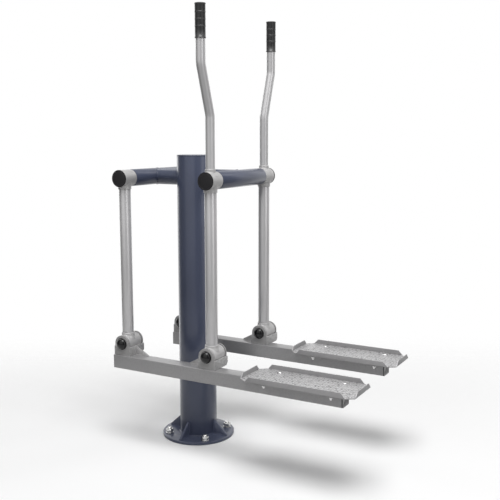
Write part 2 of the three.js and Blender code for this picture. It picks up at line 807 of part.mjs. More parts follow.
// One foot beam with its plugs and its footplate. Both beams lie towards -Y of their hangers.
function addFootBeam(parent, side) {
  const y = side.y * hangerOffset + beamShift;
  const beam = groupAt(parent, 0, y, 0);
  addPiece(beam, `${side.name}_foot_beam`, makeBeam(), 'silver');
  const middle = beamTop - beamWidth / 2;
  const rear = addPiece(beam, `${side.name}_beam_plug_rear`, makeBeamPlug(), 'plastic');
  rear.position.set(beamRearEnd - plugThickness, 0, middle);
  const front = addPiece(beam, `${side.name}_beam_plug_front`, makeBeamPlug(), 'silver');
  front.position.set(-hangerX - beamFrontEnd + plugThickness, 0, middle);
  front.rotation.z = 2 * quarterTurn;
  const tray = addPiece(beam, `${side.name}_footplate`, makeFootplate(), 'tread');
  tray.position.set(trayCentre, -trayOutboard, trayUnderside);
}

const sides = [
  { name: 'left', y: -1 },
  { name: 'right', y: 1 },
];
const ends = [
  { name: 'front', x: -hangerX, facing: 1, hasHandle: false },
  { name: 'rear', x: hangerX, facing: -1, hasHandle: true },
];

const walker = new THREE.Group();
addFrame(walker);
for (const side of sides) {
  for (const end of ends) {
    addHanger(walker, side, end);
    addLowerPivot(walker, side, end);
  }
  addFootBeam(walker, side);
}

export default walker;
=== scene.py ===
"""Outdoor air walker: the visible pieces and their finishes, built over the CAD frame.

Metres, +Z up, with the origin at the centre of the base plate's underside. The user stands on the
footplates at +X and faces -X, so the left side is at -Y.
"""

import logging
import math
from collections.abc import Callable, Sequence
from dataclasses import dataclass
from enum import Enum
from functools import lru_cache

import bmesh
import bpy
from mathutils import Matrix, Vector


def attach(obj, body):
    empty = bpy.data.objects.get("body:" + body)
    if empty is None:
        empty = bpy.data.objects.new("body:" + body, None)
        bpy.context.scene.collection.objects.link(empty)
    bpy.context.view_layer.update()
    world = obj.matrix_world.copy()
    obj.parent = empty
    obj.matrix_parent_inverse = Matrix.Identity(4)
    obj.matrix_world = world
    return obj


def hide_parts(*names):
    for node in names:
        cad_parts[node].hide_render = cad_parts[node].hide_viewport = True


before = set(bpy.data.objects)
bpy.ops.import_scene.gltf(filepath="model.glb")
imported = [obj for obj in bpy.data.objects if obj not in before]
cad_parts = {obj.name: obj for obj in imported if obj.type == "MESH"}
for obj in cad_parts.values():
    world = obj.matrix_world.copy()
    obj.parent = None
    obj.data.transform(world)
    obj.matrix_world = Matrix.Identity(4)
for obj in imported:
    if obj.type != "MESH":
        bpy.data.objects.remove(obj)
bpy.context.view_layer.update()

log = logging.getLogger("walker")

Colour = tuple[float, float, float, float]
Point = tuple[float, float, float]
Profile = Sequence[tuple[float, float]]
Test = Callable[[Vector, Vector], bool]
Piece = bpy.types.Object

QUARTER = math.pi / 2
HANDS = (-1, 1)
GAP = 0.0003  # Between pieces that touch.
ALONG = 0.9  # How far a direction has to go along an axis to count as lying on it.
SHARP = 35.0  # Edges sharper than this stay sharp, in degrees.


class Word(Enum):
    """An Enum whose names are also words in the names of nodes and bodies."""

    @property
    def label(self) -> str:
        """The word."""
        return self.name.lower()


class Side(Word):
    """The user's left and right, with the sign of Y there."""

    LEFT = -1
    RIGHT = 1


class End(Word):
    """The front and rear pivots, with the sign of X there."""

    FRONT = -1
    REAR = 1


class Blend(Enum):
    """How a second solid changes a piece."""

    JOIN = "UNION"
    CUT = "DIFFERENCE"
    KEEP_COMMON = "INTERSECT"


class Part(Enum):
    """Which elements of a mesh are worked on."""

    FACE = "FACE"
    EDGE = "EDGE"
    CORNER = "VERT"


def srgb(red: int, green: int, blue: int) -> Colour:
    """Turns a colour as seen on a screen into the linear one that a shader takes.

    Args:
        red: Red from 0 to 255.
        green: Green from 0 to 255.
        blue: Blue from 0 to 255.

    Returns:
        The linear colour with full alpha.
    """
    shares = [value / 255 for value in (red, green, blue)]
    linear = (share / 12.92 if share <= 0.04045 else ((share + 0.055) / 1.055) ** 2.4 for share in shares)
    return *linear, 1.0


def grey(level: int) -> Colour:
    """The linear colour of a grey from 0 to 255."""
    return srgb(level, level, level)


# Shader expressions


def math_node(operation: str, swapped: bool = False) -> Callable[..., "Wire"]:
    """A method for Wire that adds one Math node.

    Args:
        operation: The node's operation.
        swapped: Whether the wire comes last, as in 1 - wire.

    Returns:
        The method, which takes the other value where there is one.
    """

    def method(self: "Wire", *others: "Wire | float") -> "Wire":
        """Adds the node and gives back its output."""
        values = (*others, self) if swapped else (self, *others)
        return self.graph.node("ShaderNodeMath", {"operation": operation}, dict(enumerate(values)))

    return method


class Wire:
    """A shader socket that adds Math nodes when it is used in an expression."""

    def __init__(self, graph: "Graph", socket: bpy.types.NodeSocket) -> None:
        """Keeps the socket and the graph that it belongs to."""
        self.graph = graph
        self.socket = socket

    __add__ = math_node("ADD")
    __radd__ = math_node("ADD", swapped=True)
    __sub__ = math_node("SUBTRACT")
    __rsub__ = math_node("SUBTRACT", swapped=True)
    __mul__ = math_node("MULTIPLY")
    lowest = math_node("MINIMUM")
    highest = math_node("MAXIMUM")
    size = math_node("ABSOLUTE")
    sine = math_node("SINE")

    def ramp(self, start: float, end: float) -> "Wire":
        """Rises smoothly from 0 at start to 1 at end, and stays there."""
        settings = {"interpolation_type": "SMOOTHSTEP", "clamp": True}
        inputs = {"Value": self, "From Min": start, "From Max": end, "To Min": 0.0, "To Max": 1.0}
        return self.graph.node("ShaderNodeMapRange", settings, inputs)


class Graph:
    """A node tree that is written as expressions."""

    def __init__(self, tree: bpy.types.NodeTree) -> None:
        """Empties the tree and starts from the object's own coordinates."""
        self.tree = tree
        self.tree.nodes.clear()
        self.place = self.node("ShaderNodeTexCoord", output="Object")

    def node(
        self, kind: str, settings: dict | None = None, inputs: dict | None = None, output: int | str = 0
    ) -> Wire:
        """Adds a node.

        Args:
            kind: The node's type.
            settings: Its own settings, set first.
            inputs: Values or wires for its sockets, by name or number.
            output: The output to give back.

        Returns:
            The chosen output.
        """
        made = self.tree.nodes.new(kind)
        for key, value in (settings or {}).items():
            setattr(made, key, value)
        for key, value in (inputs or {}).items():
            self.feed(made.inputs[key], value)
        return Wire(self, made.outputs[output])

    def feed(self, socket: bpy.types.NodeSocket, value: object) -> None:
        """Links a wire to a socket, or sets a plain value on it."""
        if isinstance(value, Wire):
            self.tree.links.new(value.socket, socket)
        else:
            socket.default_value = value

    def mix(self, factor: Wire, first: Wire | Colour, second: Wire | Colour) -> Wire:
        """Blends two colours, from the first where the factor is 0 to the second where it is 1."""
        settings = {"data_type": "RGBA", "clamp_factor": True}
        return self.node("ShaderNodeMix", settings, {0: factor, 6: first, 7: second}, 2)

    def noise(self, scale: float, detail: float = 2.0, rough: float = 0.5) -> Wire:
        """Smooth noise from 0 to 1 over the object.

        Args:
            scale: Waves to the metre.
            detail: How many finer layers are added.
            rough: How strong the finer layers are.

        Returns:
            The noise.
        """
        inputs = {"Vector": self.place, "Scale": scale, "Detail": detail, "Roughness": rough}
        return self.node("ShaderNodeTexNoise", None, inputs, "Fac")

    def axis(self, name: str, of: Wire | None = None) -> Wire:
        """One coordinate, X, Y or Z, of a vector that is by default the object's own place."""
        return self.node("ShaderNodeSeparateXYZ", None, {0: of or self.place}, name)

    def ray(self, kind: str) -> Wire:
        """1 for rays of a kind, such as Camera, and 0 for others."""
        return self.node("ShaderNodeLightPath", output=f"Is {kind} Ray")

    def seen(self) -> Wire:
        """1 for rays from the camera, a reflection or clear material, and 0 for those of soft light."""
        return self.ray("Camera").highest(self.ray("Glossy")).highest(self.ray("Transmission"))

    def finish(self, kind: str, surface: Wire) -> None:
        """Ends the tree in an output node of a kind, fed by a surface."""
        self.feed(self.tree.nodes.new(kind).inputs["Surface"], surface)


class Shader(Graph):
    """The node tree of one finish."""

    def __init__(self, name: str) -> None:
        """Starts a material of that name with a Principled surface and nothing else."""
        self.material = bpy.data.materials.new(name)
        self.material.use_nodes = True
        super().__init__(self.material.node_tree)
        self.surface = self.tree.nodes.new("ShaderNodeBsdfPrincipled")
        self.finish("ShaderNodeOutputMaterial", Wire(self, self.surface.outputs["BSDF"]))

    def set(self, **values: object) -> None:
        """Sets sockets of the surface, with underscores for the spaces in their names."""
        for key, value in values.items():
            self.feed(self.surface.inputs[key.replace("_", " ")], value)

    def facing_up(self) -> Wire:
        """1 where the surface faces up and 0 where it is upright or faces down."""
        return self.axis("Z", self.node("ShaderNodeTexCoord", output="Normal")).ramp(0.35, 0.95)

    def _pointed(self) -> Wire:
        """How pointed the surface is: 0.5 where flat, more on outer edges and less in inner corners."""
        return self.node("ShaderNodeNewGeometry", output="Pointiness")

    def hollows(self) -> Wire:
        """1 in inner corners and 0 elsewhere."""
        return self._pointed().ramp(0.49, 0.43)

    def clouded(self, cloud: Wire, shade: Colour, colour: Colour) -> Wire:
        """Drifts from one shade to another in wide clouds."""
        return self.mix(cloud.ramp(0.3, 0.7), shade, colour)

    def worn(self, amount: Wire, under: Wire | Colour, bare: Colour) -> Wire:
        """Shows a bare colour on outer edges, by an amount."""
        return self.mix(self._pointed().ramp(0.515, 0.6) * amount, under, bare)

    def relief(self, height: Wire, depth: float, strength: float, under: Wire | None = None) -> Wire:
        """A bump from a height.

        Args:
            height: The height, from 0 to 1.
            depth: What 1 stands for, in metres.
            strength: How much of it is used.
            under: A bump below this one.

        Returns:
            The normal.
        """
        inputs: dict = {"Strength": strength, "Distance": depth, "Height": height}
        if under is not None:
            inputs["Normal"] = under
        return self.node("ShaderNodeBump", None, inputs)


# Finishes


@dataclass(frozen=True)
class Finish:
    """What every finish has: the material's name, its slot and its main colour."""

    name: str
    slot: str
    colour: Colour

    def build(self) -> bpy.types.Material:
        """Makes the material."""
        shader = Shader(self.name)
        shader.set(**self.sockets(shader))
        return shader.material

    def sockets(self, shader: Shader) -> dict[str, object]:
        """What each finish sets on the surface, by socket."""
        raise NotImplementedError


@dataclass(frozen=True)
class PowderCoat(Finish):
    """Powder coat on steel: orange peel, faint clouding, a little dust on top and edges where it is thin."""

    shade: Colour
    thin: Colour
    metallic: float = 0.0
    roughness: float = 0.32
    coat: float = 0.3
    shine: float = 0.5
    wear: float = 0.1
    dust: Colour = srgb(150, 146, 138)
    dust_share: float = 0.05
    peel_depth: float = 0.000001

    def sockets(self, shader: Shader) -> dict[str, object]:
        """What it sets on the surface, by socket."""
        cloud = shader.noise(5.0)
        speck = shader.noise(160.0, 3.0, 0.6)
        peel = shader.noise(900.0, 2.0, 0.45)
        paint = shader.clouded(cloud, self.shade, self.colour)
        worn = shader.worn(speck.ramp(0.3, 0.6) * self.wear, paint, self.thin)
        film = shader.facing_up() * speck.ramp(0.3, 0.75)
        dusty = (film + shader.hollows() * 0.5).lowest(1.0) * self.dust_share
        return dict(
            Base_Color=shader.mix(dusty, worn, self.dust),
            Metallic=self.metallic,
            Roughness=(self.roughness + (cloud - 0.5) * 0.06 + film * self.dust_share).lowest(0.95),
            Specular_IOR_Level=self.shine,
            Coat_Weight=self.coat,
            Coat_Roughness=0.15,
            Normal=shader.relief(peel, self.peel_depth, 0.5),
        )


@dataclass(frozen=True)
class CastCoat(Finish):
    """The same silver coat on a casting, with sand grain under it and painted shade in inner corners."""

    shade: Colour
    thin: Colour
    # Painted shade: the grey that inner corners are darkened towards.
    soil: Colour = srgb(96, 95, 96)
    sand_depth: float = 0.00002

    def sockets(self, shader: Shader) -> dict[str, object]:
        """What it sets on the surface, by socket."""
        sand = shader.noise(420.0, 3.0, 0.6)
        speck = shader.noise(150.0)
        paint = shader.clouded(shader.noise(14.0), self.shade, self.colour)
        worn = shader.worn(speck.ramp(0.3, 0.6) * 0.5, paint, self.thin)
        return dict(
            # Painted shade: inner corners are darkened towards the grey.
            Base_Color=shader.mix(shader.hollows() * 0.4, worn, self.soil),
            Metallic=0.2,
            Roughness=0.42 + (sand - 0.5) * 0.16 + (speck - 0.5) * 0.06,
            Coat_Weight=0.12,
            Coat_Roughness=0.2,
            Normal=shader.relief(sand, self.sand_depth, 0.6),
        )


@dataclass(frozen=True)
class TreadSheet(Finish):
    """Galvanised sheet with a fine raised tread, dark specks and rubbed points, with painted shade on the
    faces that don't face up and in inner corners.
    """

    shade: Colour
    bright: Colour
    # The dark specks and grit, and also the painted shade in inner corners.
    dark: Colour
    # Painted shade: the colour of every face that doesn't face up, darker than the deck.
    rim: Colour
    pitch: float = 0.017
    height: float = 0.0010
    grit_depth: float = 0.0004
    specks: float = 52.0

    def _bars(self, x: Wire, y: Wire, shift: float) -> Wire:
        """One family of short raised bars.

        Args:
            x: The coordinate along the bars.
            y: The coordinate across them.
            shift: Where they start, as a share of the pitch.

        Returns:
            Their height, from 0 to 1.
        """
        turn = 2 * math.pi / self.pitch
        start = shift * 2 * math.pi
        lengths = (x * (turn / 2) + start).sine().size()
        return ((y * turn + start).sine() * lengths).ramp(0.45, 0.85)

    def sockets(self, shader: Shader) -> dict[str, object]:
        """What it sets on the surface, by socket."""
        x, y = shader.axis("X"), shader.axis("Y")
        rising, falling = (x + y) * math.sqrt(0.5), (x - y) * math.sqrt(0.5)
        bars = self._bars(rising, falling, 0.0).highest(self._bars(falling, rising, 0.25))
        top = shader.facing_up()
        tread = bars * top
        grit = shader.noise(150.0, 2.0, 0.8)
        cells = {"Vector": shader.place, "Scale": self.specks}
        spot = shader.node("ShaderNodeTexVoronoi", {"voronoi_dimensions": "2D"}, cells, "Distance")
        speck = (spot + (shader.noise(70.0, 1.0) - 0.5) * 0.3).ramp(0.17, 0.1)
        # Painted shade: faces that don't face up take the darker rim colour.
        zinc = shader.mix(top, self.rim, shader.clouded(shader.noise(9.0), self.shade, self.colour))
        rubbed = shader.mix(tread * 0.7, zinc, self.bright)
        gritty = shader.mix(grit.ramp(0.5, 0.7) * (top * 0.4 + 0.1), rubbed, self.dark)
        dotted = shader.mix(speck * top * 0.9, gritty, self.dark)
        return dict(
            # Painted shade: inner corners are darkened towards the dark colour.
            Base_Color=shader.mix(shader.hollows() * 0.3, dotted, self.dark),
            Metallic=0.35,
            Roughness=0.5 + (grit - 0.5) * 0.2 - tread * 0.12,
            Normal=shader.relief(tread, self.height, 0.8, shader.relief(grit, self.grit_depth, 0.6)),
        )


@dataclass(frozen=True)
class PlatedSteel(Finish):
    """Zinc plate or machined steel, with a fine turned grain, uneven lustre and painted shade in inner
    corners.
    """

    shade: Colour
    roughness: float = 0.2
    grain_depth: float = 0.00003
    # Painted shade: the dark colour that inner corners are darkened towards.
    soil: Colour = srgb(60, 58, 56)

    def sockets(self, shader: Shader) -> dict[str, object]:
        """What it sets on the surface, by socket."""
        cloud = shader.noise(120.0, 3.0, 0.6)
        grain = shader.noise(1500.0, 2.0, 0.6)
        metal = shader.mix(cloud.ramp(0.35, 0.7), self.shade, self.colour)
        return dict(
            # Painted shade: inner corners are darkened towards the dark colour.
            Base_Color=shader.mix(shader.hollows() * 0.6, metal, self.soil),
            Metallic=0.95,
            Roughness=self.roughness + (cloud - 0.5) * 0.16 + (grain - 0.5) * 0.08,
            Normal=shader.relief(grain, self.grain_depth, 0.5),
        )


@dataclass(frozen=True)
class Moulding(Finish):
    """Moulded plastic or rubber, with a fine texture, grey rubbed edges and a little dust."""

    rubbed: Colour
    roughness: float
    grain: float = 900.0
    depth: float = 0.00004
    coat: float = 0.0
    shine: float = 0.3
    dust: Colour = srgb(120, 116, 110)

    def sockets(self, shader: Shader) -> dict[str, object]:
        """What it sets on the surface, by socket."""
        texture = shader.noise(self.grain, 2.0, 0.55)
        cloud = shader.noise(40.0, 3.0, 0.6)
        worn = shader.worn(cloud.ramp(0.3, 0.7) * 0.6, self.colour, self.rubbed)
        return dict(
            Base_Color=shader.mix(shader.facing_up() * cloud * 0.05, worn, self.dust),
            Roughness=self.roughness + (cloud - 0.5) * 0.12 + (texture - 0.5) * 0.08,
            Specular_IOR_Level=self.shine,
            Coat_Weight=self.coat,
            Coat_Roughness=0.05,
            Normal=shader.relief(texture, self.depth, 0.6),
        )


BLUE = PowderCoat(
    "slate_blue_coat", "blue", srgb(72, 78, 98), srgb(68, 74, 93), srgb(104, 108, 122), coat=0.4, shine=0.25
)
SILVER = PowderCoat(
    "silver_coat", "silver", srgb(198, 197, 198), srgb(193, 192, 193), srgb(218, 218, 219),
    metallic=0.25, roughness=0.26, coat=0.15,
)
# Painted shade: a darker copy of the silver coat, for the beams and front plugs, whose flat faces get less
# light.
SHADED_SILVER_COAT = PowderCoat(
    "grey_silver_coat", "silver", srgb(150, 149, 150), srgb(144, 143, 144), srgb(200, 200, 201),
    metallic=0.3, roughness=0.3, coat=0.2,
)
CASTING = CastCoat("silver_casting", "silver", srgb(184, 183, 183), srgb(178, 177, 177), grey(214))
# Painted shade: a darker copy of the cast coat, for the clevises, whose faces get less light.
SHADED_CASTING = CastCoat("bracket_coat", "silver", srgb(152, 151, 151), srgb(146, 145, 145), grey(204))
# Its last colour, for every face that doesn't face up, is painted shade.
TREAD = TreadSheet(
    "tread_sheet", "tread", srgb(186, 185, 186), srgb(176, 175, 176), grey(222), srgb(78, 77, 78),
    srgb(150, 149, 150),
)
ZINC = PlatedSteel("bright_zinc", "zinc", grey(226), srgb(196, 196, 195))
BEARING = PlatedSteel("bearing_steel", "steel", srgb(160, 162, 168), srgb(128, 130, 134), 0.32)
PLASTIC = Moulding("black_plastic", "plastic", srgb(30, 29, 31), srgb(66, 65, 68), 0.5)
GLOSS = Moulding("black_gloss", "gloss", srgb(9, 9, 11), srgb(60, 60, 62), 0.1, depth=0.000005, coat=0.15)
PLUG = Moulding(
    "plug_plastic", "plastic", srgb(36, 35, 37), srgb(70, 69, 72), 0.34, depth=0.00001, coat=0.3, shine=0.8
)
RUBBER = Moulding(
    "black_rubber", "rubber", srgb(38, 38, 39), srgb(96, 95, 96), 0.38, 1300.0, depth=0.00001, shine=0.75
)


@lru_cache(maxsize=None)
def material_of(finish: Finish) -> bpy.types.Material:
    """The material of a finish, which is made once."""
    return finish.build()


# Modelling steps


class Bench:
    """The modelling steps that the pieces share."""

    @staticmethod
    def clear() -> None:
        """Leaves edit mode and deselects everything."""
        if bpy.context.object and bpy.context.object.mode != "OBJECT":
            bpy.ops.object.mode_set(mode="OBJECT")
        bpy.ops.object.select_all(action="DESELECT")

    @classmethod
    def take(cls, piece: Piece) -> None:
        """Makes a piece the only selected one, in object mode."""
        cls.clear()
        bpy.context.view_layer.objects.active = piece
        piece.select_set(True)

    @classmethod
    def open(cls, piece: Piece, part: Part = Part.FACE) -> None:
        """Puts a piece in edit mode with all of it selected."""
        cls.take(piece)
        bpy.ops.object.mode_set(mode="EDIT")
        bpy.ops.mesh.select_mode(type=part.value)
        bpy.ops.mesh.select_all(action="SELECT")

    @staticmethod
    def close() -> None:
        """Turns all faces outward and leaves edit mode."""
        bpy.ops.mesh.select_all(action="SELECT")
        bpy.ops.mesh.normals_make_consistent(inside=False)
        bpy.ops.object.mode_set(mode="OBJECT")

    @staticmethod
    def pick(piece: Piece, part: Part, test: Test) -> None:
        """Selects the faces or edges of a piece in edit mode that pass a test.

        Args:
            piece: The piece, in edit mode.
            part: Faces or edges.
            test: Takes the element's middle, and a face's normal or an edge's direction.
        """
        bpy.ops.mesh.select_mode(type=part.value)
        bpy.ops.mesh.select_all(action="DESELECT")
        mesh = bmesh.from_edit_mesh(piece.data)
        if part is Part.FACE:
            found = [(face, face.calc_center_median(), face.normal) for face in mesh.faces]
        else:
            lines = [(edge, edge.verts[0].co, edge.verts[1].co) for edge in mesh.edges]
            found = [(edge, (start + end) / 2, (end - start).normalized()) for edge, start, end in lines]
        for element, middle, direction in found:
            if test(middle, direction):
                element.select_set(True)
        mesh.select_flush_mode()
        bmesh.update_edit_mesh(piece.data)

    @staticmethod
    def draw(offset: Sequence[float], size: Sequence[float] = (), centre: Point = (0, 0, 0)) -> None:
        """Draws the selection out by an offset, and then scales it about a centre.

        Args:
            offset: How far it goes.
            size: The scale along each axis, or nothing to leave it.
            centre: What it is scaled about.
        """
        bpy.ops.mesh.extrude_region_move(TRANSFORM_OT_translate={"value": offset})
        if size:
            bpy.ops.transform.resize(value=size, center_override=centre)

    @staticmethod
    def _named(name: str) -> Piece:
        """The active object, with its new name."""
        piece = bpy.context.object
        piece.name = name
        piece.data.name = name
        return piece

    @classmethod
    def settled(cls, name: str) -> Piece:
        """Names the new active object and applies its place."""
        piece = cls._named(name)
        bpy.ops.object.transform_apply(location=True, rotation=True, scale=True)
        return piece

    @classmethod
    def disc(cls, name: str, radius: float, height: float, sides: int) -> Piece:
        """A flat disc about Z, in edit mode, for drawing out."""
        cls.clear()
        bpy.ops.mesh.primitive_circle_add(
            vertices=sides, radius=radius, fill_type="NGON", location=(0, 0, height)
        )
        piece = cls.settled(name)
        cls.open(piece)
        return piece

    @classmethod
    def turned(cls, name: str, profile: Profile, sides: int = 64) -> Piece:
        """Draws a disc out along +Z, ring by ring, into a closed turned piece.

        Args:
            name: The piece's name.
            profile: The radius and height of each ring, from the first to the last.
            sides: Corners round a ring.

        Returns:
            The piece.
        """
        radius, height = profile[0]
        piece = cls.disc(name, radius, height, sides)
        for next_radius, next_height in profile[1:]:
            ratio = next_radius / radius
            cls.draw((0, 0, next_height - height), (ratio, ratio, 1), (0, 0, next_height))
            radius, height = next_radius, next_height
        cls.close()
        return piece

    @classmethod
    def rod(cls, name: str, radius: float, low: float, high: float, sides: int = 64) -> Piece:
        """A plain round bar along Z from low to high."""
        return cls.turned(name, [(radius, low), (radius, high)], sides)

    @classmethod
    def block(cls, name: str, low: Point, high: Point) -> Piece:
        """A box between two corners."""
        cls.clear()
        start, end = Vector(low), Vector(high)
        bpy.ops.mesh.primitive_cube_add(size=1, location=(start + end) / 2)
        bpy.context.object.scale = end - start
        return cls.settled(name)

    @classmethod
    def bar(cls, name: str, low: Point, high: Point, corner: float) -> Piece:
        """A box between two corners whose edges along X are rounded, still in edit mode."""
        piece = cls.block(name, low, high)
        cls.open(piece)
        cls.pick(piece, Part.EDGE, lambda middle, direction: abs(direction.x) > ALONG)
        bpy.ops.mesh.bevel(offset=corner, segments=6, affect="EDGES")
        return piece

    @classmethod
    def move(cls, piece: Piece, matrix: Matrix) -> Piece:
        """Moves a piece and applies its new place to its mesh."""
        cls.take(piece)
        piece.matrix_world = matrix
        bpy.ops.object.transform_apply(location=True, rotation=True, scale=True)
        return piece

    @classmethod
    def copy(cls, piece: Piece, name: str, matrix: Matrix) -> Piece:
        """Copies a piece with its own mesh, and places the copy."""
        cls.take(piece)
        bpy.ops.object.duplicate(linked=False)
        return cls.move(cls._named(name), matrix)

    @classmethod
    def delete(cls, *pieces: Piece) -> None:
        """Takes pieces away that are used up."""
        for piece in pieces:
            cls.take(piece)
            bpy.ops.object.delete()

    @classmethod
    def modify(cls, piece: Piece, kind: str, **settings: object) -> None:
        """Adds a modifier with its settings and applies it."""
        cls.take(piece)
        bpy.ops.object.modifier_add(type=kind)
        modifier = piece.modifiers[-1]
        for key, value in settings.items():
            setattr(modifier, key, value)
        bpy.ops.object.modifier_apply(modifier=modifier.name)

    @classmethod
    def combine(cls, piece: Piece, other: Piece, how: Blend) -> None:
        """Joins, cuts or trims a piece with another, which is used up."""
        cls.modify(piece, "BOOLEAN", operation=how.value, object=other, solver="EXACT")
        cls.delete(other)

    @classmethod
    def gather(cls, name: str, pieces: Sequence[Piece]) -> Piece:
        """Puts several shapes that touch into one piece."""
        cls.take(pieces[0])
        for piece in pieces[1:]:
            piece.select_set(True)
        bpy.ops.object.join()
        return cls._named(name)

    @classmethod
    def soften(cls, piece: Piece, width: float, segments: int = 2, angle: float = SHARP) -> None:
        """Rounds every edge that is sharper than the angle, in degrees."""
        cls.modify(
            piece, "BEVEL", width=width, segments=segments, limit_method="ANGLE",
            angle_limit=math.radians(angle), use_clamp_overlap=True,
        )

    @classmethod
    def cast(cls, piece: Piece, voxel: float, passes: int) -> None:
        """Turns joined solids into one skin with soft inner corners, as a casting has."""
        cls.modify(piece, "REMESH", mode="VOXEL", voxel_size=voxel, adaptivity=0.0)
        cls.modify(piece, "SMOOTH", factor=0.5, iterations=passes)

    @classmethod
    def smooth(cls, piece: Piece, angle: float) -> None:
        """Shades a piece smooth, with its sharp edges kept."""
        cls.take(piece)
        bpy.ops.object.shade_smooth_by_angle(angle=math.radians(angle))


class Seam:
    """Weld beads with a rippled surface."""

    ripple = 0.14
    fitted_ripple = 0.12
    merge = 0.00001

    @classmethod
    def _bead(cls, piece: Piece, radius: float, ripple: float, closed: bool) -> Piece:
        """Turns a line of edges into a bead.

        Args:
            piece: A mesh of edges only.
            radius: The bead's radius.
            ripple: How much the radius rises and falls, as a share.
            closed: Whether the line is a ring.

        Returns:
            The bead.
        """
        Bench.take(piece)
        bpy.ops.object.convert(target="CURVE")
        curve = bpy.context.object.data
        for spline in curve.splines:
            spline.use_cyclic_u = closed
            for index, point in enumerate(spline.points):
                point.radius = 1 + ripple * (1 if index % 2 else -1)
        curve.bevel_depth = radius
        curve.bevel_resolution = 3
        curve.use_fill_caps = not closed
        bpy.ops.object.convert(target="MESH")
        bead = Bench.settled("bead")
        Bench.open(bead)
        bpy.ops.mesh.remove_doubles(threshold=cls.merge)
        Bench.close()
        return bead

    @classmethod
    def ring(cls, ring: float, height: float, radius: float, count: int) -> Piece:
        """A bead round the Z axis, with a number of ripples."""
        Bench.clear()
        bpy.ops.mesh.primitive_circle_add(vertices=2 * count, radius=ring, location=(0, 0, height))
        return cls._bead(Bench.settled("ring"), radius, cls.ripple, True)

    @classmethod
    def straight(cls, start: Point, end: Point, radius: float, pitch: float) -> Piece:
        """A straight bead with a ripple at each pitch."""
        Bench.clear()
        run = Vector(end) - Vector(start)
        bpy.ops.mesh.primitive_plane_add(size=0.001, location=start)
        piece = Bench.settled("line")
        Bench.open(piece, Part.CORNER)
        bpy.ops.mesh.merge(type="CENTER")
        bpy.ops.mesh.select_all(action="SELECT")
        Bench.draw(run)
        bpy.ops.mesh.select_all(action="SELECT")
        bpy.ops.mesh.subdivide(number_cuts=max(1, 2 * round(run.length / pitch) - 1))
        bpy.ops.object.mode_set(mode="OBJECT")
        return cls._bead(piece, radius, cls.ripple, False)

    @classmethod
    def fitted(cls, ring: float, start: Matrix, target: Piece, radius: float, count: int) -> Piece:
        """A bead where a round tube meets a round surface.

        Args:
            ring: The tube's radius.
            start: Places a ring about Z, so that it moves along its own -Z to reach the surface.
            target: The piece with the surface.
            radius: The bead's radius.
            count: How many ripples it has.

        Returns:
            The bead.
        """
        Bench.clear()
        bpy.ops.mesh.primitive_circle_add(vertices=2 * count, radius=ring)
        piece = Bench.settled("ring")
        piece.matrix_world = start
        Bench.modify(
            piece, "SHRINKWRAP", target=target, wrap_method="PROJECT", use_project_z=True,
            use_positive_direction=False, use_negative_direction=True,
        )
        return cls._bead(Bench.move(piece, start), radius, cls.fitted_ripple, True)


def shifted(x: float = 0.0, y: float = 0.0, z: float = 0.0) -> Matrix:
    """A move without a turn."""
    return Matrix.Translation((x, y, z))


def turned_about(axis: str, degrees: float) -> Matrix:
    """A turn about a world axis through the origin."""
    return Matrix.Rotation(math.radians(degrees), 4, axis)


def across(sign: int = 1) -> Matrix:
    """Lays what points along +Z along +Y, or along -Y for a negative sign."""
    return turned_about("X", -90.0 * sign)


def lengthwise(sign: int = 1) -> Matrix:
    """Lays what points along +Z along +X, or along -X for a negative sign."""
    return turned_about("Y", 90.0 * sign)


def arc(steps: int) -> list[tuple[float, float]]:
    """The cosine and sine at the steps of a quarter turn, without its two ends."""
    angles = [QUARTER * index / steps for index in range(1, steps)]
    return [(math.cos(angle), math.sin(angle)) for angle in angles]


def paint(piece: Piece, finish: Finish) -> None:
    """Gives a piece its material and no other."""
    piece.data.materials.clear()
    piece.data.materials.append(material_of(finish))


def dress(piece: Piece, finish: Finish, body: str, *nodes: str, angle: float = SHARP) -> None:
    """Gives a finished piece its material and its body, and hides the CAD nodes that it stands for.

    Args:
        piece: The piece, in place.
        finish: Its finish.
        body: The CAD body that carries it.
        nodes: The CAD nodes that it replaces.
        angle: Edges sharper than this stay sharp, in degrees.
    """
    Bench.smooth(piece, angle)
    paint(piece, finish)
    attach(piece, body)
    if nodes:
        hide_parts(*nodes)
    log.info("%s rides on %s, with %d faces", piece.name, body, len(piece.data.polygons))


def fit(
    pattern: Piece, name: str, place: Matrix, finish: Finish, body: str, *nodes: str, angle: float = SHARP
) -> None:
    """Copies a pattern piece to its place under a name, and dresses the copy."""
    dress(Bench.copy(pattern, name, place), finish, body, *nodes, angle=angle)


# Sub-assemblies

HANGER_X = 0.182
HANGER_Y = 0.190
TOP_PIVOT = 0.983
FOOT_PIVOT = 0.380
POST_RADIUS = 0.070
BEAM_TOP = 0.337


@dataclass(frozen=True)
class Corner:
    """One of the four places where a hanger hangs. The pieces there take their place from it."""

    side: Side
    end: End

    @property
    def label(self) -> str:
        """The corner's words in names."""
        return f"{self.side.label}_{self.end.label}"

    @property
    def hanger(self) -> str:
        """The body of its hanger."""
        return f"{self.label}_hanger"

    @property
    def beam(self) -> str:
        """The body of its foot beam."""
        return f"{self.side.label}_beam"

    def at(self, height: float = 0.0) -> Matrix:
        """The place on the corner's upright at a height."""
        return shifted(self.end.value * HANGER_X, self.side.value * HANGER_Y, height)


CORNERS = [Corner(side, end) for side in Side for end in End]


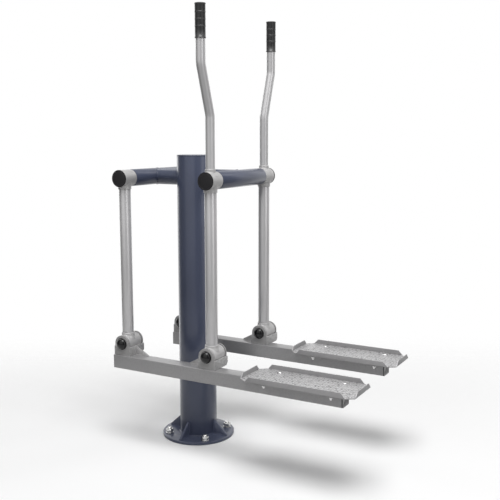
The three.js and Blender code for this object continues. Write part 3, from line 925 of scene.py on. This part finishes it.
@dataclass(frozen=True)
class Gusset:
    """A triangular plate that points to +X, with a bead along its foot and its back on each face."""

    back: float
    foot: float
    reach: float
    height: float
    thickness: float
    toe: float
    softness: float
    bead: float
    pitch: float
    lift: float
    foot_inset: float
    back_inset: float
    foot_short: float
    back_short: float

    def build(self) -> Piece:
        """Makes the plate and its four beads."""
        half = self.thickness / 2
        top = self.foot + self.height
        tip = self.back + self.reach
        plate = Bench.block("plate", (self.back, -half, self.foot), (tip, half, self.foot + self.toe))
        Bench.open(plate)
        Bench.pick(plate, Part.FACE, lambda middle, normal: normal.z > ALONG)
        Bench.draw((0, 0, self.height - self.toe), (self.toe / self.reach, 1, 1), (self.back, 0, top))
        Bench.soften(plate, self.softness)
        shapes = [plate]
        back = self.back + self.back_inset
        for hand in HANDS:
            y, z = hand * (half + self.lift), self.foot + self.lift
            along_foot = (self.back + self.foot_inset, y, z), (tip - self.foot_short, y, z)
            along_back = (back, y, z), (back, y, top - self.back_short)
            shapes += [Seam.straight(*line, self.bead, self.pitch) for line in (along_foot, along_back)]
        return Bench.gather("gusset", shapes)


def hex_nut(flats: float, low: float, high: float) -> Piece:
    """A hexagon nut along Z whose corners are turned off at both ends.

    Args:
        flats: The width across its flats.
        low: Its lower end.
        high: Its upper end.

    Returns:
        The nut.
    """
    corner = flats / 2 / math.cos(math.pi / 6)
    nut = Bench.rod("nut", corner, low, high, 6)
    rim = flats * 0.47
    drop = (corner - rim) * 0.6
    wide = corner * 1.001
    cone = Bench.turned("cone", [(rim, low), (wide, low + drop), (wide, high - drop), (rim, high)], 48)
    Bench.combine(nut, cone, Blend.KEEP_COMMON)
    Bench.soften(nut, 0.0003, 2, 25)
    return nut


@dataclass(frozen=True)
class Base:
    """The round base plate with its gussets and welds, and its anchors."""

    radius: float = 0.136
    thickness: float = 0.010
    anchor_circle: float = 0.113
    anchor_radius: float = 0.008
    hole_radius: float = 0.009
    washer_radius: float = 0.015
    washer_thickness: float = 0.003
    nut_flats: float = 0.024
    nut_height: float = 0.013
    stick_out: float = 0.006
    thread_pitch: float = 0.002
    stud_chamfer: float = 0.001
    bead: float = 0.0022

    def _spot(self, index: int) -> Matrix:
        """The place of an anchor."""
        return turned_about("Z", 45 + 90 * index) @ shifted(self.anchor_circle)

    def _plate(self) -> Piece:
        """The disc with its four anchor holes."""
        disc = Bench.rod("base_disc", self.radius, 0.0, self.thickness, 160)
        for index in range(4):
            hole = Bench.rod("hole", self.hole_radius, -self.thickness / 2, self.thickness * 2, 32)
            Bench.combine(disc, Bench.move(hole, self._spot(index)), Blend.CUT)
        Bench.soften(disc, 0.0015, 3)
        return disc

    def _anchor(self) -> Piece:
        """Stud with thread, washer and chamfered nut, about the Z axis."""
        seat = self.thickness + GAP
        washer_top = seat + self.washer_thickness
        nut_top = washer_top + self.nut_height
        top = nut_top + self.stick_out
        radius, chamfer, pitch = self.anchor_radius, self.stud_chamfer, self.thread_pitch
        profile = [(radius, GAP), (radius, nut_top - chamfer)]
        height = nut_top - chamfer / 2
        while height + pitch < top - chamfer:
            profile += [(radius * 0.9, height), (radius, height + pitch / 2)]
            height += pitch
        profile += [(radius * 0.88, top - chamfer), (radius * 0.7, top)]
        stud = Bench.turned("stud", profile, 40)
        washer = Bench.rod("washer", self.washer_radius, seat, washer_top, 48)
        Bench.soften(washer, 0.0006)
        return Bench.gather("anchor", [stud, washer, hex_nut(self.nut_flats, washer_top, nut_top)])

    def build(self) -> None:
        """Makes the welded base plate and the four anchors."""
        plate = self._plate()
        inset = self.bead / 3
        gusset = Gusset(
            back=POST_RADIUS, foot=self.thickness, reach=0.057, height=0.052, thickness=0.008, toe=0.004,
            softness=0.001, bead=self.bead, pitch=0.005, lift=inset, foot_inset=inset, back_inset=inset,
            foot_short=self.bead, back_short=0.003,
        ).build()
        gussets = [Bench.copy(gusset, "gusset_copy", turned_about("Z", 90 * index)) for index in range(4)]
        ring = Seam.ring(POST_RADIUS + inset, self.thickness + inset, self.bead * 1.1, 90)
        plate = Bench.gather("base_weldment", [plate, *gussets, ring])
        dress(plate, BLUE, "frame", "base_plate")
        anchor = self._anchor()
        for index in range(4):
            place = self._spot(index) @ turned_about("Z", 13 + 29 * index)
            fit(anchor, f"anchor_{index + 1}", place, ZINC, "frame", f"anchor_bolt_{index + 1}")
        Bench.delete(gusset, anchor)


@dataclass(frozen=True)
class Post:
    """The round post and its flat cap."""

    foot: float = 0.0103
    top: float = 1.065
    cap: float = 0.004
    spigot: float = 0.0657

    def build(self) -> Piece:
        """Makes the tube and the cap.

        Returns:
            The tube, which the top frame is welded to.
        """
        tube_top = self.top - self.cap - GAP
        tube = Bench.rod("post_tube", POST_RADIUS, self.foot, tube_top, 160)
        Bench.soften(tube, 0.0006)
        dress(tube, BLUE, "frame", "post")
        profile = [(self.spigot, tube_top + GAP / 3), (POST_RADIUS, tube_top + GAP), (POST_RADIUS, self.top)]
        cap = Bench.turned("post_lid", profile, 160)
        Bench.soften(cap, 0.0016, 4, 50)
        dress(cap, BLUE, "frame", "post_cap")
        return tube


@dataclass(frozen=True)
class TopFrame:
    """Spine tubes and cross tubes in the shape of an H, welded to the post."""

    radius: float = 0.0305
    cross_half: float = 0.154
    spine_start: float = 0.060
    spine_short: float = 0.012
    between: float = 0.12
    bead: float = 0.0018
    ripples: int = 44

    def build(self, post: Piece) -> None:
        """Makes the four tubes and their welds.

        Args:
            post: The post, which the front and rear spines meet.
        """
        level = shifted(z=TOP_PIVOT)
        for end in End:
            cross = Bench.rod(f"cross_{end.label}", self.radius, -self.cross_half, self.cross_half, 96)
            Bench.soften(cross, 0.0008)
            Bench.move(cross, shifted(end.value * HANGER_X, 0, TOP_PIVOT) @ across())
            spine = Bench.rod("spine", self.radius, self.spine_start, HANGER_X - self.spine_short, 96)
            shapes = [Bench.move(spine, level @ lengthwise(end.value))]
            middle = level @ shifted(end.value * self.between)
            at_post = (self.radius + self.bead / 4, end.value, post)
            at_cross = (self.radius * 0.985, -end.value, cross)
            for ring, sign, target in (at_post, at_cross):
                shapes.append(Seam.fitted(ring, middle @ lengthwise(sign), target, self.bead, self.ripples))
            spine = Bench.gather(f"spine_{end.label}", shapes)
            dress(spine, BLUE, "frame", f"spine_tube_{end.label}")
            dress(cross, BLUE, "frame", f"cross_tube_{end.label}")


@dataclass(frozen=True)
class Casting:
    """A cast sleeve with flared necks: the top housings and the hubs."""

    sleeve_radius: float
    start: float
    end: float
    bore: float
    reach_down: float
    reach_up: float
    hanger_radius: float = 0.021
    handle_radius: float = 0.0159
    wall: float = 0.0025
    flare: float = 0.0275
    flare_height: float = 0.0144
    blend_height: float = 0.030
    blend_steps: int = 6
    neck_chamfer: float = 0.0008
    rim: float = 0.0015
    socket_floor: float = 0.031
    socket_gap: float = 0.0002
    overcut: float = 0.01
    shoulder: float = 0.0
    shoulder_step: float = 0.004
    voxel: float = 0.0011

    def _neck(self, tube: float, reach: float) -> Piece:
        """A neck along +Z that narrows in a curve to the collar round its tube."""
        collar = tube + self.wall
        profile = [(self.flare, 0.0), (self.flare, self.flare_height)]
        for index in range(1, self.blend_steps + 1):
            share = index / self.blend_steps
            fall = (1 - math.cos(share * math.pi)) / 2
            height = self.flare_height + (self.blend_height - self.flare_height) * share
            profile.append((self.flare + (collar - self.flare) * fall, height))
        profile += [(collar, reach - self.neck_chamfer), (collar - self.neck_chamfer, reach)]
        return Bench.turned("neck", profile, 72)

    def build(self, name: str) -> Piece:
        """Makes the casting about its pivot at the origin, with the sleeve along Y."""
        outer, end = self.sleeve_radius, self.end - self.shoulder
        profile = [
            (outer - self.rim, self.start), (outer, self.start + self.rim),
            (outer, end - self.rim), (outer - self.rim, end),
        ]
        if self.shoulder:
            step = outer - self.shoulder_step
            profile += [(step, end), (step, self.end)]
        body = Bench.move(Bench.turned(name, profile, 96), across())
        upper_tube = self.handle_radius if self.reach_down else self.hanger_radius
        necks = [(self.reach_down, -1, self.hanger_radius), (self.reach_up, 1, upper_tube)]
        necks = [neck for neck in necks if neck[0]]
        for reach, sign, tube in necks:
            turn = turned_about("X", 0 if sign > 0 else 180)
            Bench.combine(body, Bench.move(self._neck(tube, reach), turn), Blend.JOIN)
        Bench.cast(body, self.voxel, 5)
        for reach, sign, tube in necks:
            low, high = sorted((sign * self.socket_floor, sign * (reach + self.overcut)))
            Bench.combine(body, Bench.rod("socket", tube + self.socket_gap, low, high), Blend.CUT)
        bore = Bench.rod("bore", self.bore, self.start - self.overcut, self.end + self.overcut, 72)
        Bench.combine(body, Bench.move(bore, across()), Blend.CUT)
        return body


@dataclass(frozen=True)
class TopPivots:
    """The four top housings with their end caps."""

    front: Casting = Casting(0.0305, -0.035, 0.029, 0.026, 0.040, 0.0)
    rear: Casting = Casting(0.0305, -0.035, 0.029, 0.026, 0.040, 0.040)
    cap_thickness: float = 0.0035
    spigot_step: float = 0.005
    spigot_depth: float = 0.002
    groove: float = 0.0005

    def _cap(self) -> Piece:
        """A flat cap with a rounded rim and a shallow ring in its face, facing +Z from the origin."""
        radius, depth = self.front.sleeve_radius, self.cap_thickness
        spigot = radius - self.spigot_step
        profile = [(spigot, -self.spigot_depth), (spigot, 0.0), (radius, 0.0), (radius, depth)]
        for share, drop in ((0.88, 0.0), (0.87, self.groove), (0.84, self.groove), (0.83, 0.0), (0.2, 0.0)):
            profile.append((radius * share, depth - drop))
        cap = Bench.turned("end_cap", profile, 96)
        Bench.soften(cap, 0.0009, 3, 50)
        return cap

    def build(self) -> None:
        """Makes and places the castings and caps."""
        patterns = {End.FRONT: self.front.build("front_pattern"), End.REAR: self.rear.build("rear_pattern")}
        cap = self._cap()
        for corner in CORNERS:
            label, body, sign = corner.label, corner.hanger, corner.side.value
            spot = corner.at(TOP_PIVOT) @ turned_about("Z", 0 if sign > 0 else 180)
            housing = patterns[corner.end]
            fit(housing, f"{label}_top_casting", spot, CASTING, body, f"{label}_top_housing", angle=50)
            spot = corner.at(TOP_PIVOT) @ shifted(y=sign * (self.front.end + GAP)) @ across(sign)
            fit(cap, f"{label}_end_cap", spot, PLASTIC, body, f"{label}_top_cap")
        Bench.delete(*patterns.values(), cap)


@dataclass(frozen=True)
class Hangers:
    """The four hanger tubes, the two bent handles and their grips."""

    radius: float = 0.021
    socket_floor: float = 0.0313
    handle_radius: float = 0.0159
    lower_bend: float = 1.201
    upper_bend: float = 1.367
    spread: float = 0.054
    bend_radius: float = 0.055
    grip_top: float = 1.555
    grip_wall: float = 0.0033
    grip_length: float = 0.110
    grip_radius: float = 0.0175
    ring_start: float = 0.0285
    ring_pitch: float = 0.022

    @staticmethod
    def _bend(centre: Vector, angle: float) -> None:
        """Carries the end of the tube round a centre, by an angle about X."""
        bpy.ops.mesh.spin(steps=10, angle=angle, center=centre, axis=(1, 0, 0))

    def _handle(self, side: Side) -> Piece:
        """The handle tube: up, a bend outward, a straight run, a bend back and up again."""
        sign = side.value
        rise = self.upper_bend - self.lower_bend
        lean = math.atan2(self.spread, rise)
        setback = self.bend_radius * math.tan(lean / 2)
        start = TOP_PIVOT + self.socket_floor
        first = self.lower_bend - setback
        handle = Bench.disc(f"{side.label}_handle", self.handle_radius, start, 72)
        Bench.draw((0, 0, first - start))
        centre = Vector((0, sign * self.bend_radius, first))
        self._bend(centre, sign * lean)
        length = math.hypot(self.spread, rise) - 2 * setback
        run = Vector((0, sign * math.sin(lean), math.cos(lean))) * length
        Bench.draw(run)
        spoke = Vector((0, -sign * math.cos(lean), math.sin(lean))) * self.bend_radius
        self._bend(centre + spoke + run + spoke, -sign * lean)
        Bench.draw((0, 0, self.grip_top - self.grip_wall - self.upper_bend - setback))
        Bench.close()
        return handle

    def _grip(self) -> Piece:
        """A rubber grip about Z: a collar at each end and three raised rings."""
        bottom, top, radius = self.grip_top - self.grip_length, self.grip_top, self.grip_radius
        collar = ((0.0005, 0.0), (0.0009, 0.0007), (0.0009, 0.0030), (0.0, 0.0038))
        raised = (
            (-0.0003, -0.0016), (0.0008, -0.0008), (0.0008, 0.0008), (-0.0003, 0.0016), (0.0, 0.0024)
        )
        crown = ((0.0, -0.0042), (0.0009, -0.0034), (0.0009, -0.0012), (0.0003, -0.0003), (-0.0015, 0.0))
        rings = [top - self.ring_start - index * self.ring_pitch for index in (2, 1, 0)]
        profile = [(self.handle_radius + 0.0004, bottom)]
        for place, steps in ((bottom, collar), *((ring, raised) for ring in rings), (top, crown)):
            profile += [(radius + rise, place + offset) for rise, offset in steps]
        return Bench.turned("grip", [*profile, (radius * 0.3, top)], 72)

    def build(self) -> None:
        """Makes and places the tubes, handles and grips."""
        low, high = FOOT_PIVOT + self.socket_floor, TOP_PIVOT - self.socket_floor
        tube = Bench.rod("tube", self.radius, low, high, 96)
        Bench.soften(tube, 0.0008)
        for corner in CORNERS:
            fit(tube, corner.hanger, corner.at(), SILVER, corner.hanger, f"{corner.hanger}_tube")
        grip = self._grip()
        for side in Side:
            label, corner = side.label, Corner(side, End.REAR)
            handle = Bench.move(self._handle(side), corner.at())
            dress(handle, SILVER, corner.hanger, f"{label}_handle_tube")
            spot = corner.at() @ shifted(y=side.value * self.spread)
            fit(grip, f"{label}_grip_sleeve", spot, RUBBER, corner.hanger, f"{label}_grip", angle=60)
        Bench.delete(tube, grip)


@dataclass(frozen=True)
class FootPivots:
    """The four lower pivots: hub, clevis with its gusset, and the bolt with its domed covers."""

    hub: Casting = Casting(0.030, -0.028, 0.043, 0.020, 0.0, 0.037, shoulder=0.0022)
    clearance: float = 0.001
    near_cheek: float = 0.009
    far_cheek: float = 0.005
    cheek_radius: float = 0.0305
    saddle_step: float = 0.004
    saddle_drop: float = 0.011
    edge_chamfer: float = 0.008
    overcut: float = 0.05
    pin: float = 0.010
    dome_rim: float = 0.0215
    dome_rim_height: float = 0.003
    dome_rim_chamfer: float = 0.0006
    dome_radius: float = 0.0200
    dome_height: float = 0.015

    @property
    def opening(self) -> tuple[float, float]:
        """Where the clevis opens for the hub, from -Y to +Y."""
        return self.hub.start - self.clearance, self.hub.end + self.clearance

    @property
    def ends(self) -> tuple[float, float]:
        """Where the clevis begins and ends, from -Y to +Y."""
        return self.opening[0] - self.near_cheek, self.opening[1] + self.far_cheek

    def _clevis(self, facing: End) -> Piece:
        """The clevis about its pivot.

        Args:
            facing: The end that its gusset points to.

        Returns:
            The clevis.
        """
        foot = BEAM_TOP + GAP - FOOT_PIVOT
        radius, drop, wide = self.cheek_radius, self.saddle_drop, self.overcut
        (near, far), (start, end) = self.ends, self.opening
        half = radius + self.saddle_step
        clevis = Bench.block("clevis", (-radius, near, foot + 0.005), (radius, far, radius))
        Bench.open(clevis)
        Bench.pick(
            clevis, Part.EDGE,
            lambda middle, direction: middle.z > radius * ALONG and abs(direction.y) > ALONG,
        )
        bpy.ops.mesh.bevel(offset=radius * 0.9999, segments=20, affect="EDGES", clamp_overlap=False)
        Bench.combine(clevis, Bench.block("saddle", (-half, near, foot), (half, far, -drop)), Blend.JOIN)
        trough = Bench.rod("trough", self.hub.sleeve_radius + self.clearance, start, end, 96)
        hole = Bench.rod("hole", self.pin + GAP, near - self.hub.overcut, far + self.hub.overcut, 48)
        side = self.edge_chamfer / math.sqrt(2)
        edge = Bench.block("edge", (-wide, -side, -side), (wide, side, side))
        for cut in (
            Bench.block("opening", (-wide, start, -drop), (wide, end, wide)),
            Bench.move(trough, across()),
            Bench.move(hole, across()),
            Bench.move(edge, shifted(y=far, z=foot) @ turned_about("X", 45)),
        ):
            Bench.combine(clevis, cut, Blend.CUT)
        Bench.soften(clevis, 0.0009, 2, 40)
        gusset = Gusset(
            back=half - 0.0005, foot=foot, reach=0.056, height=-drop - foot, thickness=0.005, toe=0.003,
            softness=0.0007, bead=0.0016, pitch=0.004, lift=0.0004, foot_inset=0.0, back_inset=0.0006,
            foot_short=0.002, back_short=0.002,
        ).build()
        Bench.move(gusset, turned_about("Z", 0 if facing is End.REAR else 180))
        return Bench.gather("clevis", [clevis, gusset])

    def _bolt(self) -> Piece:
        """The pivot bolt along Y with a domed cover at each end."""
        rim, height, chamfer = self.dome_rim, self.dome_rim_height, self.dome_rim_chamfer
        cover = [(self.pin, 0.0), (rim, 0.0), (rim, height - chamfer), (rim - chamfer, height)]
        cover.append((self.dome_radius, height))
        bulge = self.dome_height - height
        cover += [(self.dome_radius * inward, height + bulge * up) for inward, up in arc(12)]
        near = [(radius, self.ends[0] - GAP - rise) for radius, rise in reversed(cover)]
        far = [(radius, self.ends[1] + GAP + rise) for radius, rise in cover]
        return Bench.move(Bench.turned("bolt", [*near, *far], 72), across())

    def build(self) -> None:
        """Makes and places the hubs, clevises and bolts."""
        hub = self.hub.build("hub_pattern")
        bolt = self._bolt()
        clevises = {End.FRONT: self._clevis(End.REAR), End.REAR: self._clevis(End.FRONT)}
        for corner in CORNERS:
            label, beam, place = corner.label, corner.beam, corner.at(FOOT_PIVOT)
            fit(hub, f"{label}_hub_casting", place, CASTING, corner.hanger, f"{label}_hub", angle=50)
            # Painted shade: the clevis takes the darker copy of the cast coat.
            fit(clevises[corner.end], f"{label}_bracket", place, SHADED_CASTING, beam, f"{label}_clevis")
            fit(bolt, f"{label}_bolt_covers", place, GLOSS, beam, f"{label}_pivot_bolt")
        Bench.delete(hub, bolt, *clevises.values())


@dataclass(frozen=True)
class FootBeams:
    """The two square beams with cross bars and end plugs, and the footplates with their bolts."""

    width: float = 0.050
    corner: float = 0.003
    front: float = -0.218
    rear: float = 0.691
    plug: float = 0.005
    plug_border: float = 0.006
    plug_dish: float = 0.0008
    shift: float = -0.017
    bar_width: float = 0.036
    bar_length: float = 0.162
    bar_thickness: float = 0.003
    tray_length: float = 0.406
    tray_width: float = 0.168
    corner_length: float = 0.028
    corner_width: float = 0.022
    tray_centre: float = 0.548
    tray_shift: float = -0.006
    tray_bottom: float = 0.3403
    sheet: float = 0.003
    rim: float = 0.016
    rim_chamfer: float = 0.015
    fold: float = 0.003
    near: float = 0.0005
    bolt_x: float = 0.118
    bolt_y: float = 0.057
    bolt_head: float = 0.009
    bolt_dome: float = 0.0034
    bolt_radius: float = 0.004

    def _beam(self) -> Piece:
        """The tube with rounded corners and its two cross bars, about y = 0."""
        half, inset = self.width / 2, self.plug + GAP
        low, high = (self.front + inset, -half, BEAM_TOP - self.width), (self.rear - inset, half, BEAM_TOP)
        shapes = [Bench.bar("tube", low, high, self.corner)]
        reach, breadth = self.bar_length / 2, self.bar_width / 2
        for hand in HANDS:
            x = self.tray_centre + hand * self.bolt_x
            low = (x - breadth, self.tray_shift - reach, BEAM_TOP - GAP)
            high = (x + breadth, self.tray_shift + reach, BEAM_TOP + self.bar_thickness)
            bar = Bench.block("bar", low, high)
            Bench.soften(bar, 0.0006)
            shapes.append(bar)
            for edge in HANDS:
                line = x + edge * (breadth + 0.0005)
                start, end = (line, -half + self.corner, BEAM_TOP), (line, half - self.corner, BEAM_TOP)
                shapes.append(Seam.straight(start, end, 0.0022, 0.004))
        return Bench.gather("beam", shapes)

    def _plug(self) -> Piece:
        """An end plug whose outer face is at x = 0 and faces +X, about the beam's middle."""
        half = self.width / 2
        plug = Bench.bar("plug", (-self.plug, -half, -half), (0, half, half), self.corner)
        Bench.pick(plug, Part.FACE, lambda middle, normal: normal.x > ALONG)
        bpy.ops.mesh.inset(thickness=self.plug_border)
        bpy.ops.transform.translate(value=(-self.plug_dish, 0, 0))
        Bench.soften(plug, 0.0008, 3, 40)
        return plug

    def _folds(self) -> list[tuple[int, float]]:
        """The axis along each rim of the footplate, 0 or 1, and where the rim is on the other axis."""
        sizes = (self.tray_length, self.tray_width)
        return [(axis, hand * sizes[1 - axis] / 2) for hand in HANDS for axis in (0, 1)]

    def _on_fold(self, middle: Vector, direction: Vector, axis: int, rim: float) -> bool:
        """Whether an edge lies where the flat sheet meets a rim.

        Args:
            middle: The edge's middle.
            direction: The edge's direction.
            axis: The axis along the rim.
            rim: Where the rim is on the other axis.

        Returns:
            Whether it does.
        """
        level = abs(direction[axis]) > 0.99 and middle.z < self.near
        return level and abs(middle[1 - axis] - rim) < self.near

    def _tray(self) -> Piece:
        """The folded footplate, about its own centre, with its underside at z = 0."""
        sizes, corners = (self.tray_length, self.tray_width), (self.corner_length, self.corner_width)
        Bench.clear()
        bpy.ops.mesh.primitive_plane_add(size=1)
        bpy.context.object.scale = (sizes[0] / corners[0], sizes[1] / corners[1], 1)
        tray = Bench.settled("tray")
        Bench.open(tray, Part.CORNER)
        bpy.ops.mesh.bevel(offset=1.0, segments=1, affect="VERTICES")
        bpy.ops.mesh.select_all(action="SELECT")
        bpy.ops.transform.resize(value=(*corners, 1), center_override=(0, 0, 0))
        for fold in self._folds():
            Bench.pick(tray, Part.EDGE, lambda middle, direction: self._on_fold(middle, direction, *fold))
            Bench.draw((0, 0, self.sheet))
            axis = fold[0]
            length = sizes[axis] - 2 * corners[axis]
            ratios = [1.0, 1.0, 1.0]
            ratios[axis] = (length - 2 * self.rim_chamfer) / length
            Bench.draw((0, 0, self.rim), ratios)
        Bench.pick(
            tray, Part.EDGE,
            lambda middle, direction: any(self._on_fold(middle, direction, *fold) for fold in self._folds()),
        )
        bpy.ops.mesh.bevel(offset=self.fold * 0.9, segments=4, affect="EDGES")
        Bench.close()
        if max(tray.data.polygons, key=lambda face: face.area).normal.z < 0:
            Bench.open(tray)
            bpy.ops.mesh.flip_normals()
        Bench.modify(tray, "SOLIDIFY", thickness=self.sheet, offset=1.0, use_even_offset=True)
        Bench.soften(tray, 0.0005, 2, 50)
        return tray

    def _bolt(self) -> Piece:
        """A dome-headed bolt with washer and nut, for a sheet whose underside is at z = 0."""
        seat, radius, thick = self.sheet + 0.001, self.bolt_head, self.bolt_radius
        head = [(radius, self.sheet + 0.0001), (radius, seat)]
        head += [(radius * inward, seat + self.bolt_dome * up) for inward, up in arc(7)]
        shank = [(thick * 0.8, -0.0185), (thick, -0.0175), (thick, self.sheet + 0.002)]
        under = -self.bar_thickness - 0.0006
        shapes = [
            Bench.turned("head", head, 40),
            Bench.turned("shank", shank, 32),
            Bench.rod("washer", thick * 2, under - 0.0016, under, 32),
            hex_nut(0.013, under - 0.0086, under - 0.0018),
        ]
        return Bench.gather("tray_bolt", shapes)

    def build(self) -> None:
        """Makes and places the beams, plugs, footplates and bolts."""
        beam, plug, tray, bolt = self._beam(), self._plug(), self._tray(), self._bolt()
        middle = BEAM_TOP - self.width / 2
        # Painted shade: the beams and the front plugs take the darker copy of the silver coat.
        plugs = ((End.REAR, self.rear, 0, PLUG), (End.FRONT, self.front, 180, SHADED_SILVER_COAT))
        spots = [(x * self.bolt_x, y * self.bolt_y) for x in HANDS for y in HANDS]
        for side in Side:
            label = side.label
            body = f"{label}_beam"
            y = side.value * HANGER_Y + self.shift
            fit(beam, f"{label}_beam_tube", shifted(y=y), SHADED_SILVER_COAT, body, f"{label}_foot_beam")
            for end, x, turn, finish in plugs:
                place = shifted(x, y, middle) @ turned_about("Z", turn)
                fit(plug, f"{label}_plug_{end.label}", place, finish, body, f"{label}_beam_plug_{end.label}")
            centre = shifted(self.tray_centre, y + self.tray_shift, self.tray_bottom)
            fit(tray, f"{label}_tray", centre, TREAD, body, f"{label}_footplate")
            for index, spot in enumerate(spots):
                place = centre @ shifted(*spot) @ turned_about("Z", 17 + 41 * index)
                fit(bolt, f"{label}_tray_bolt_{index + 1}", place, ZINC, body)
        Bench.delete(beam, plug, tray, bolt)


@dataclass(frozen=True)
class InnerParts:
    """The CAD nodes that stay: stub axles and bearings inside the housings and hubs."""

    kinds: tuple[str, ...] = ("stub_axle", "top_bearing", "hub_bearing")

    def build(self) -> None:
        """Gives each inner node its steel finish."""
        for corner in CORNERS:
            for kind in self.kinds:
                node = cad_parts[f"{corner.label}_{kind}"]
                paint(node, BEARING)
                log.info("%s keeps its CAD shape", node.name)


# Studio


@dataclass(frozen=True)
class Lamp:
    """A soft rectangular lamp: where it stands, what it points at, its width, height and watts.

    Reflections show the studio's panels in place of the lamps that aren't mirrored.
    """

    name: str
    place: Point
    aim: Point
    size: tuple[float, float]
    power: float
    mirrored: bool = False

    def build(self) -> None:
        """Makes the lamp."""
        Bench.clear()
        bpy.ops.object.light_add(type="AREA", location=self.place)
        lamp = bpy.context.object
        lamp.name = self.name
        lamp.rotation_euler = (Vector(self.aim) - Vector(self.place)).to_track_quat("-Z", "Y").to_euler()
        lamp.data.shape = "RECTANGLE"
        lamp.data.size, lamp.data.size_y = self.size
        lamp.data.energy = self.power
        lamp.visible_camera = False
        lamp.visible_glossy = self.mirrored


@dataclass(frozen=True)
class Panel:
    """A far light panel: its bearing and half its width in degrees, its brightness and its soft border."""

    bearing: float
    half: float
    strength: float
    border: float = 4.0

    def glow(self, bearing: Wire) -> Wire:
        """Its brightness as seen along a bearing in degrees."""
        off = (bearing - self.bearing).size()
        return off.lowest(360.0 - off).ramp(self.half + self.border, self.half - self.border) * self.strength


@dataclass(frozen=True)
class Studio:
    """Floor, light and the camera at the photograph's angle."""

    camera: Point = (1.5902, -2.4296, 1.1328)
    turn: float = 29.2781
    pitch: float = 8.2869
    roll: float = -0.0557
    focal_px: float = 783.106
    frame_px: float = 500.0
    sensor: float = 36.0
    far_clip: float = 60.0
    floor_radius: float = 9.0
    floor_colour: Colour = (0.95, 0.95, 0.95, 1.0)
    floor_bounce: Colour = (0.36, 0.36, 0.36, 1.0)
    horizon: float = 0.08
    zenith: float = 0.14
    dim: float = 0.2
    overhead: float = 0.6
    panels: tuple[Panel, ...] = (
        Panel(-12.0, 12.0, 1.2), Panel(-97.0, 32.0, 0.62), Panel(60.0, 8.0, 0.8), Panel(155.0, 11.0, 1.7)
    )
    lamps: tuple[Lamp, ...] = (
        Lamp("key_lamp", (1.25, -1.85, 6.0), (0.2, 0, 0), (3.4, 3.0), 300, mirrored=True),
        Lamp("right_lamp", (5.7, -2.1, 2.9), (0.1, 0, 0.7), (3.4, 4.0), 135),
        Lamp("left_lamp", (-2.9, 0.75, 1.4), (0.1, 0, 0.8), (0.5, 2.2), 14),
        Lamp("back_lamp", (1.7, 2.7, 1.4), (0.1, 0, 0.8), (0.6, 2.2), 14),
        Lamp("front_lamp", (-0.4, -5.0, 1.6), (0.1, 0, 0.8), (4.0, 2.4), 28),
    )

    def _camera(self) -> None:
        """Makes the camera."""
        level = turned_about("Z", self.turn) @ turned_about("X", 90 - self.pitch)
        turn = (level @ turned_about("Z", self.roll)).to_euler()
        bpy.ops.object.camera_add(location=self.camera, rotation=turn)
        camera = bpy.context.object
        camera.name = "photo_camera"
        camera.data.sensor_width = self.sensor
        camera.data.lens = self.focal_px * self.sensor / self.frame_px
        camera.data.clip_end = self.far_clip
        bpy.context.scene.camera = camera

    def _reflected(self, graph: Graph) -> Wire:
        """The light panels round and over the studio, as reflections show them.

        Args:
            graph: The world's tree, whose place is a direction.

        Returns:
            Their brightness in that direction.
        """
        inputs = {0: graph.axis("Y"), 1: graph.axis("X")}
        bearing = graph.node("ShaderNodeMath", {"operation": "ARCTAN2"}, inputs) * math.degrees(1)
        light = bearing * 0.0
        for panel in self.panels:
            light = light + panel.glow(bearing)
        rise = graph.axis("Z")
        return light * (rise.ramp(-0.1, 0.12) * 0.6 + 1.0) + rise.ramp(0.3, 0.65) * self.overhead

    def _ahead(self, graph: Graph) -> Wire:
        """How far a place or direction lies along the camera's bearing."""
        turn = math.radians(self.turn)
        return graph.axis("X") * -math.sin(turn) + graph.axis("Y") * math.cos(turn)

    def _world(self) -> None:
        """A white background, which reflections see dimmer on the viewer's side, and soft light."""
        world = bpy.data.worlds.new("studio_world")
        bpy.context.scene.world = world
        world.use_nodes = True
        graph = Graph(world.node_tree)
        white = self._ahead(graph).ramp(0.35, 0.85) * (1 - self.dim) + self.dim
        backdrop = white.highest(self._reflected(graph)).highest(graph.ray("Camera"))
        light = graph.axis("Z").highest(0.0) * (self.zenith - self.horizon) + self.horizon
        soft, clear = (
            graph.node("ShaderNodeBackground", None, {"Color": (1, 1, 1, 1), "Strength": strength})
            for strength in (light, backdrop)
        )
        both = graph.node("ShaderNodeMixShader", None, {0: graph.seen(), 1: soft, 2: clear})
        graph.finish("ShaderNodeOutputWorld", both)

    def _floor(self) -> None:
        """A pale floor that fades into the background away from the object."""
        Bench.clear()
        bpy.ops.mesh.primitive_circle_add(vertices=96, radius=self.floor_radius, fill_type="NGON")
        floor = bpy.context.object
        floor.name = "studio_floor"
        material = bpy.data.materials.new("studio_floor")
        material.use_nodes = True
        graph = Graph(material.node_tree)
        length = graph.node("ShaderNodeVectorMath", {"operation": "LENGTH"}, {0: graph.place}, "Value")
        colour = graph.mix(graph.seen(), self.floor_bounce, self.floor_colour)
        matt = graph.node("ShaderNodeBsdfDiffuse", None, {"Color": colour})
        clear = graph.node("ShaderNodeBsdfTransparent")
        fade = length.ramp(0.8, 2.3).highest(self._ahead(graph).ramp(0.0, 1.5))
        both = graph.node("ShaderNodeMixShader", None, {0: fade, 1: matt, 2: clear})
        graph.finish("ShaderNodeOutputMaterial", both)
        floor.data.materials.append(material)

    def build(self) -> None:
        """Sets up the studio."""
        bpy.context.scene.view_settings.view_transform = "Standard"
        self._world()
        self._floor()
        for lamp in self.lamps:
            lamp.build()
        self._camera()


def main() -> None:
    """Builds the studio and the walker, piece by piece."""
    logging.basicConfig(level=logging.INFO, format="%(name)s: %(message)s")
    Studio().build()
    Base().build()
    post = Post().build()
    TopFrame().build(post)
    TopPivots().build()
    Hangers().build()
    FootPivots().build()
    FootBeams().build()
    InnerParts().build()
    Bench.clear()


if __name__ == "__main__":
    main()
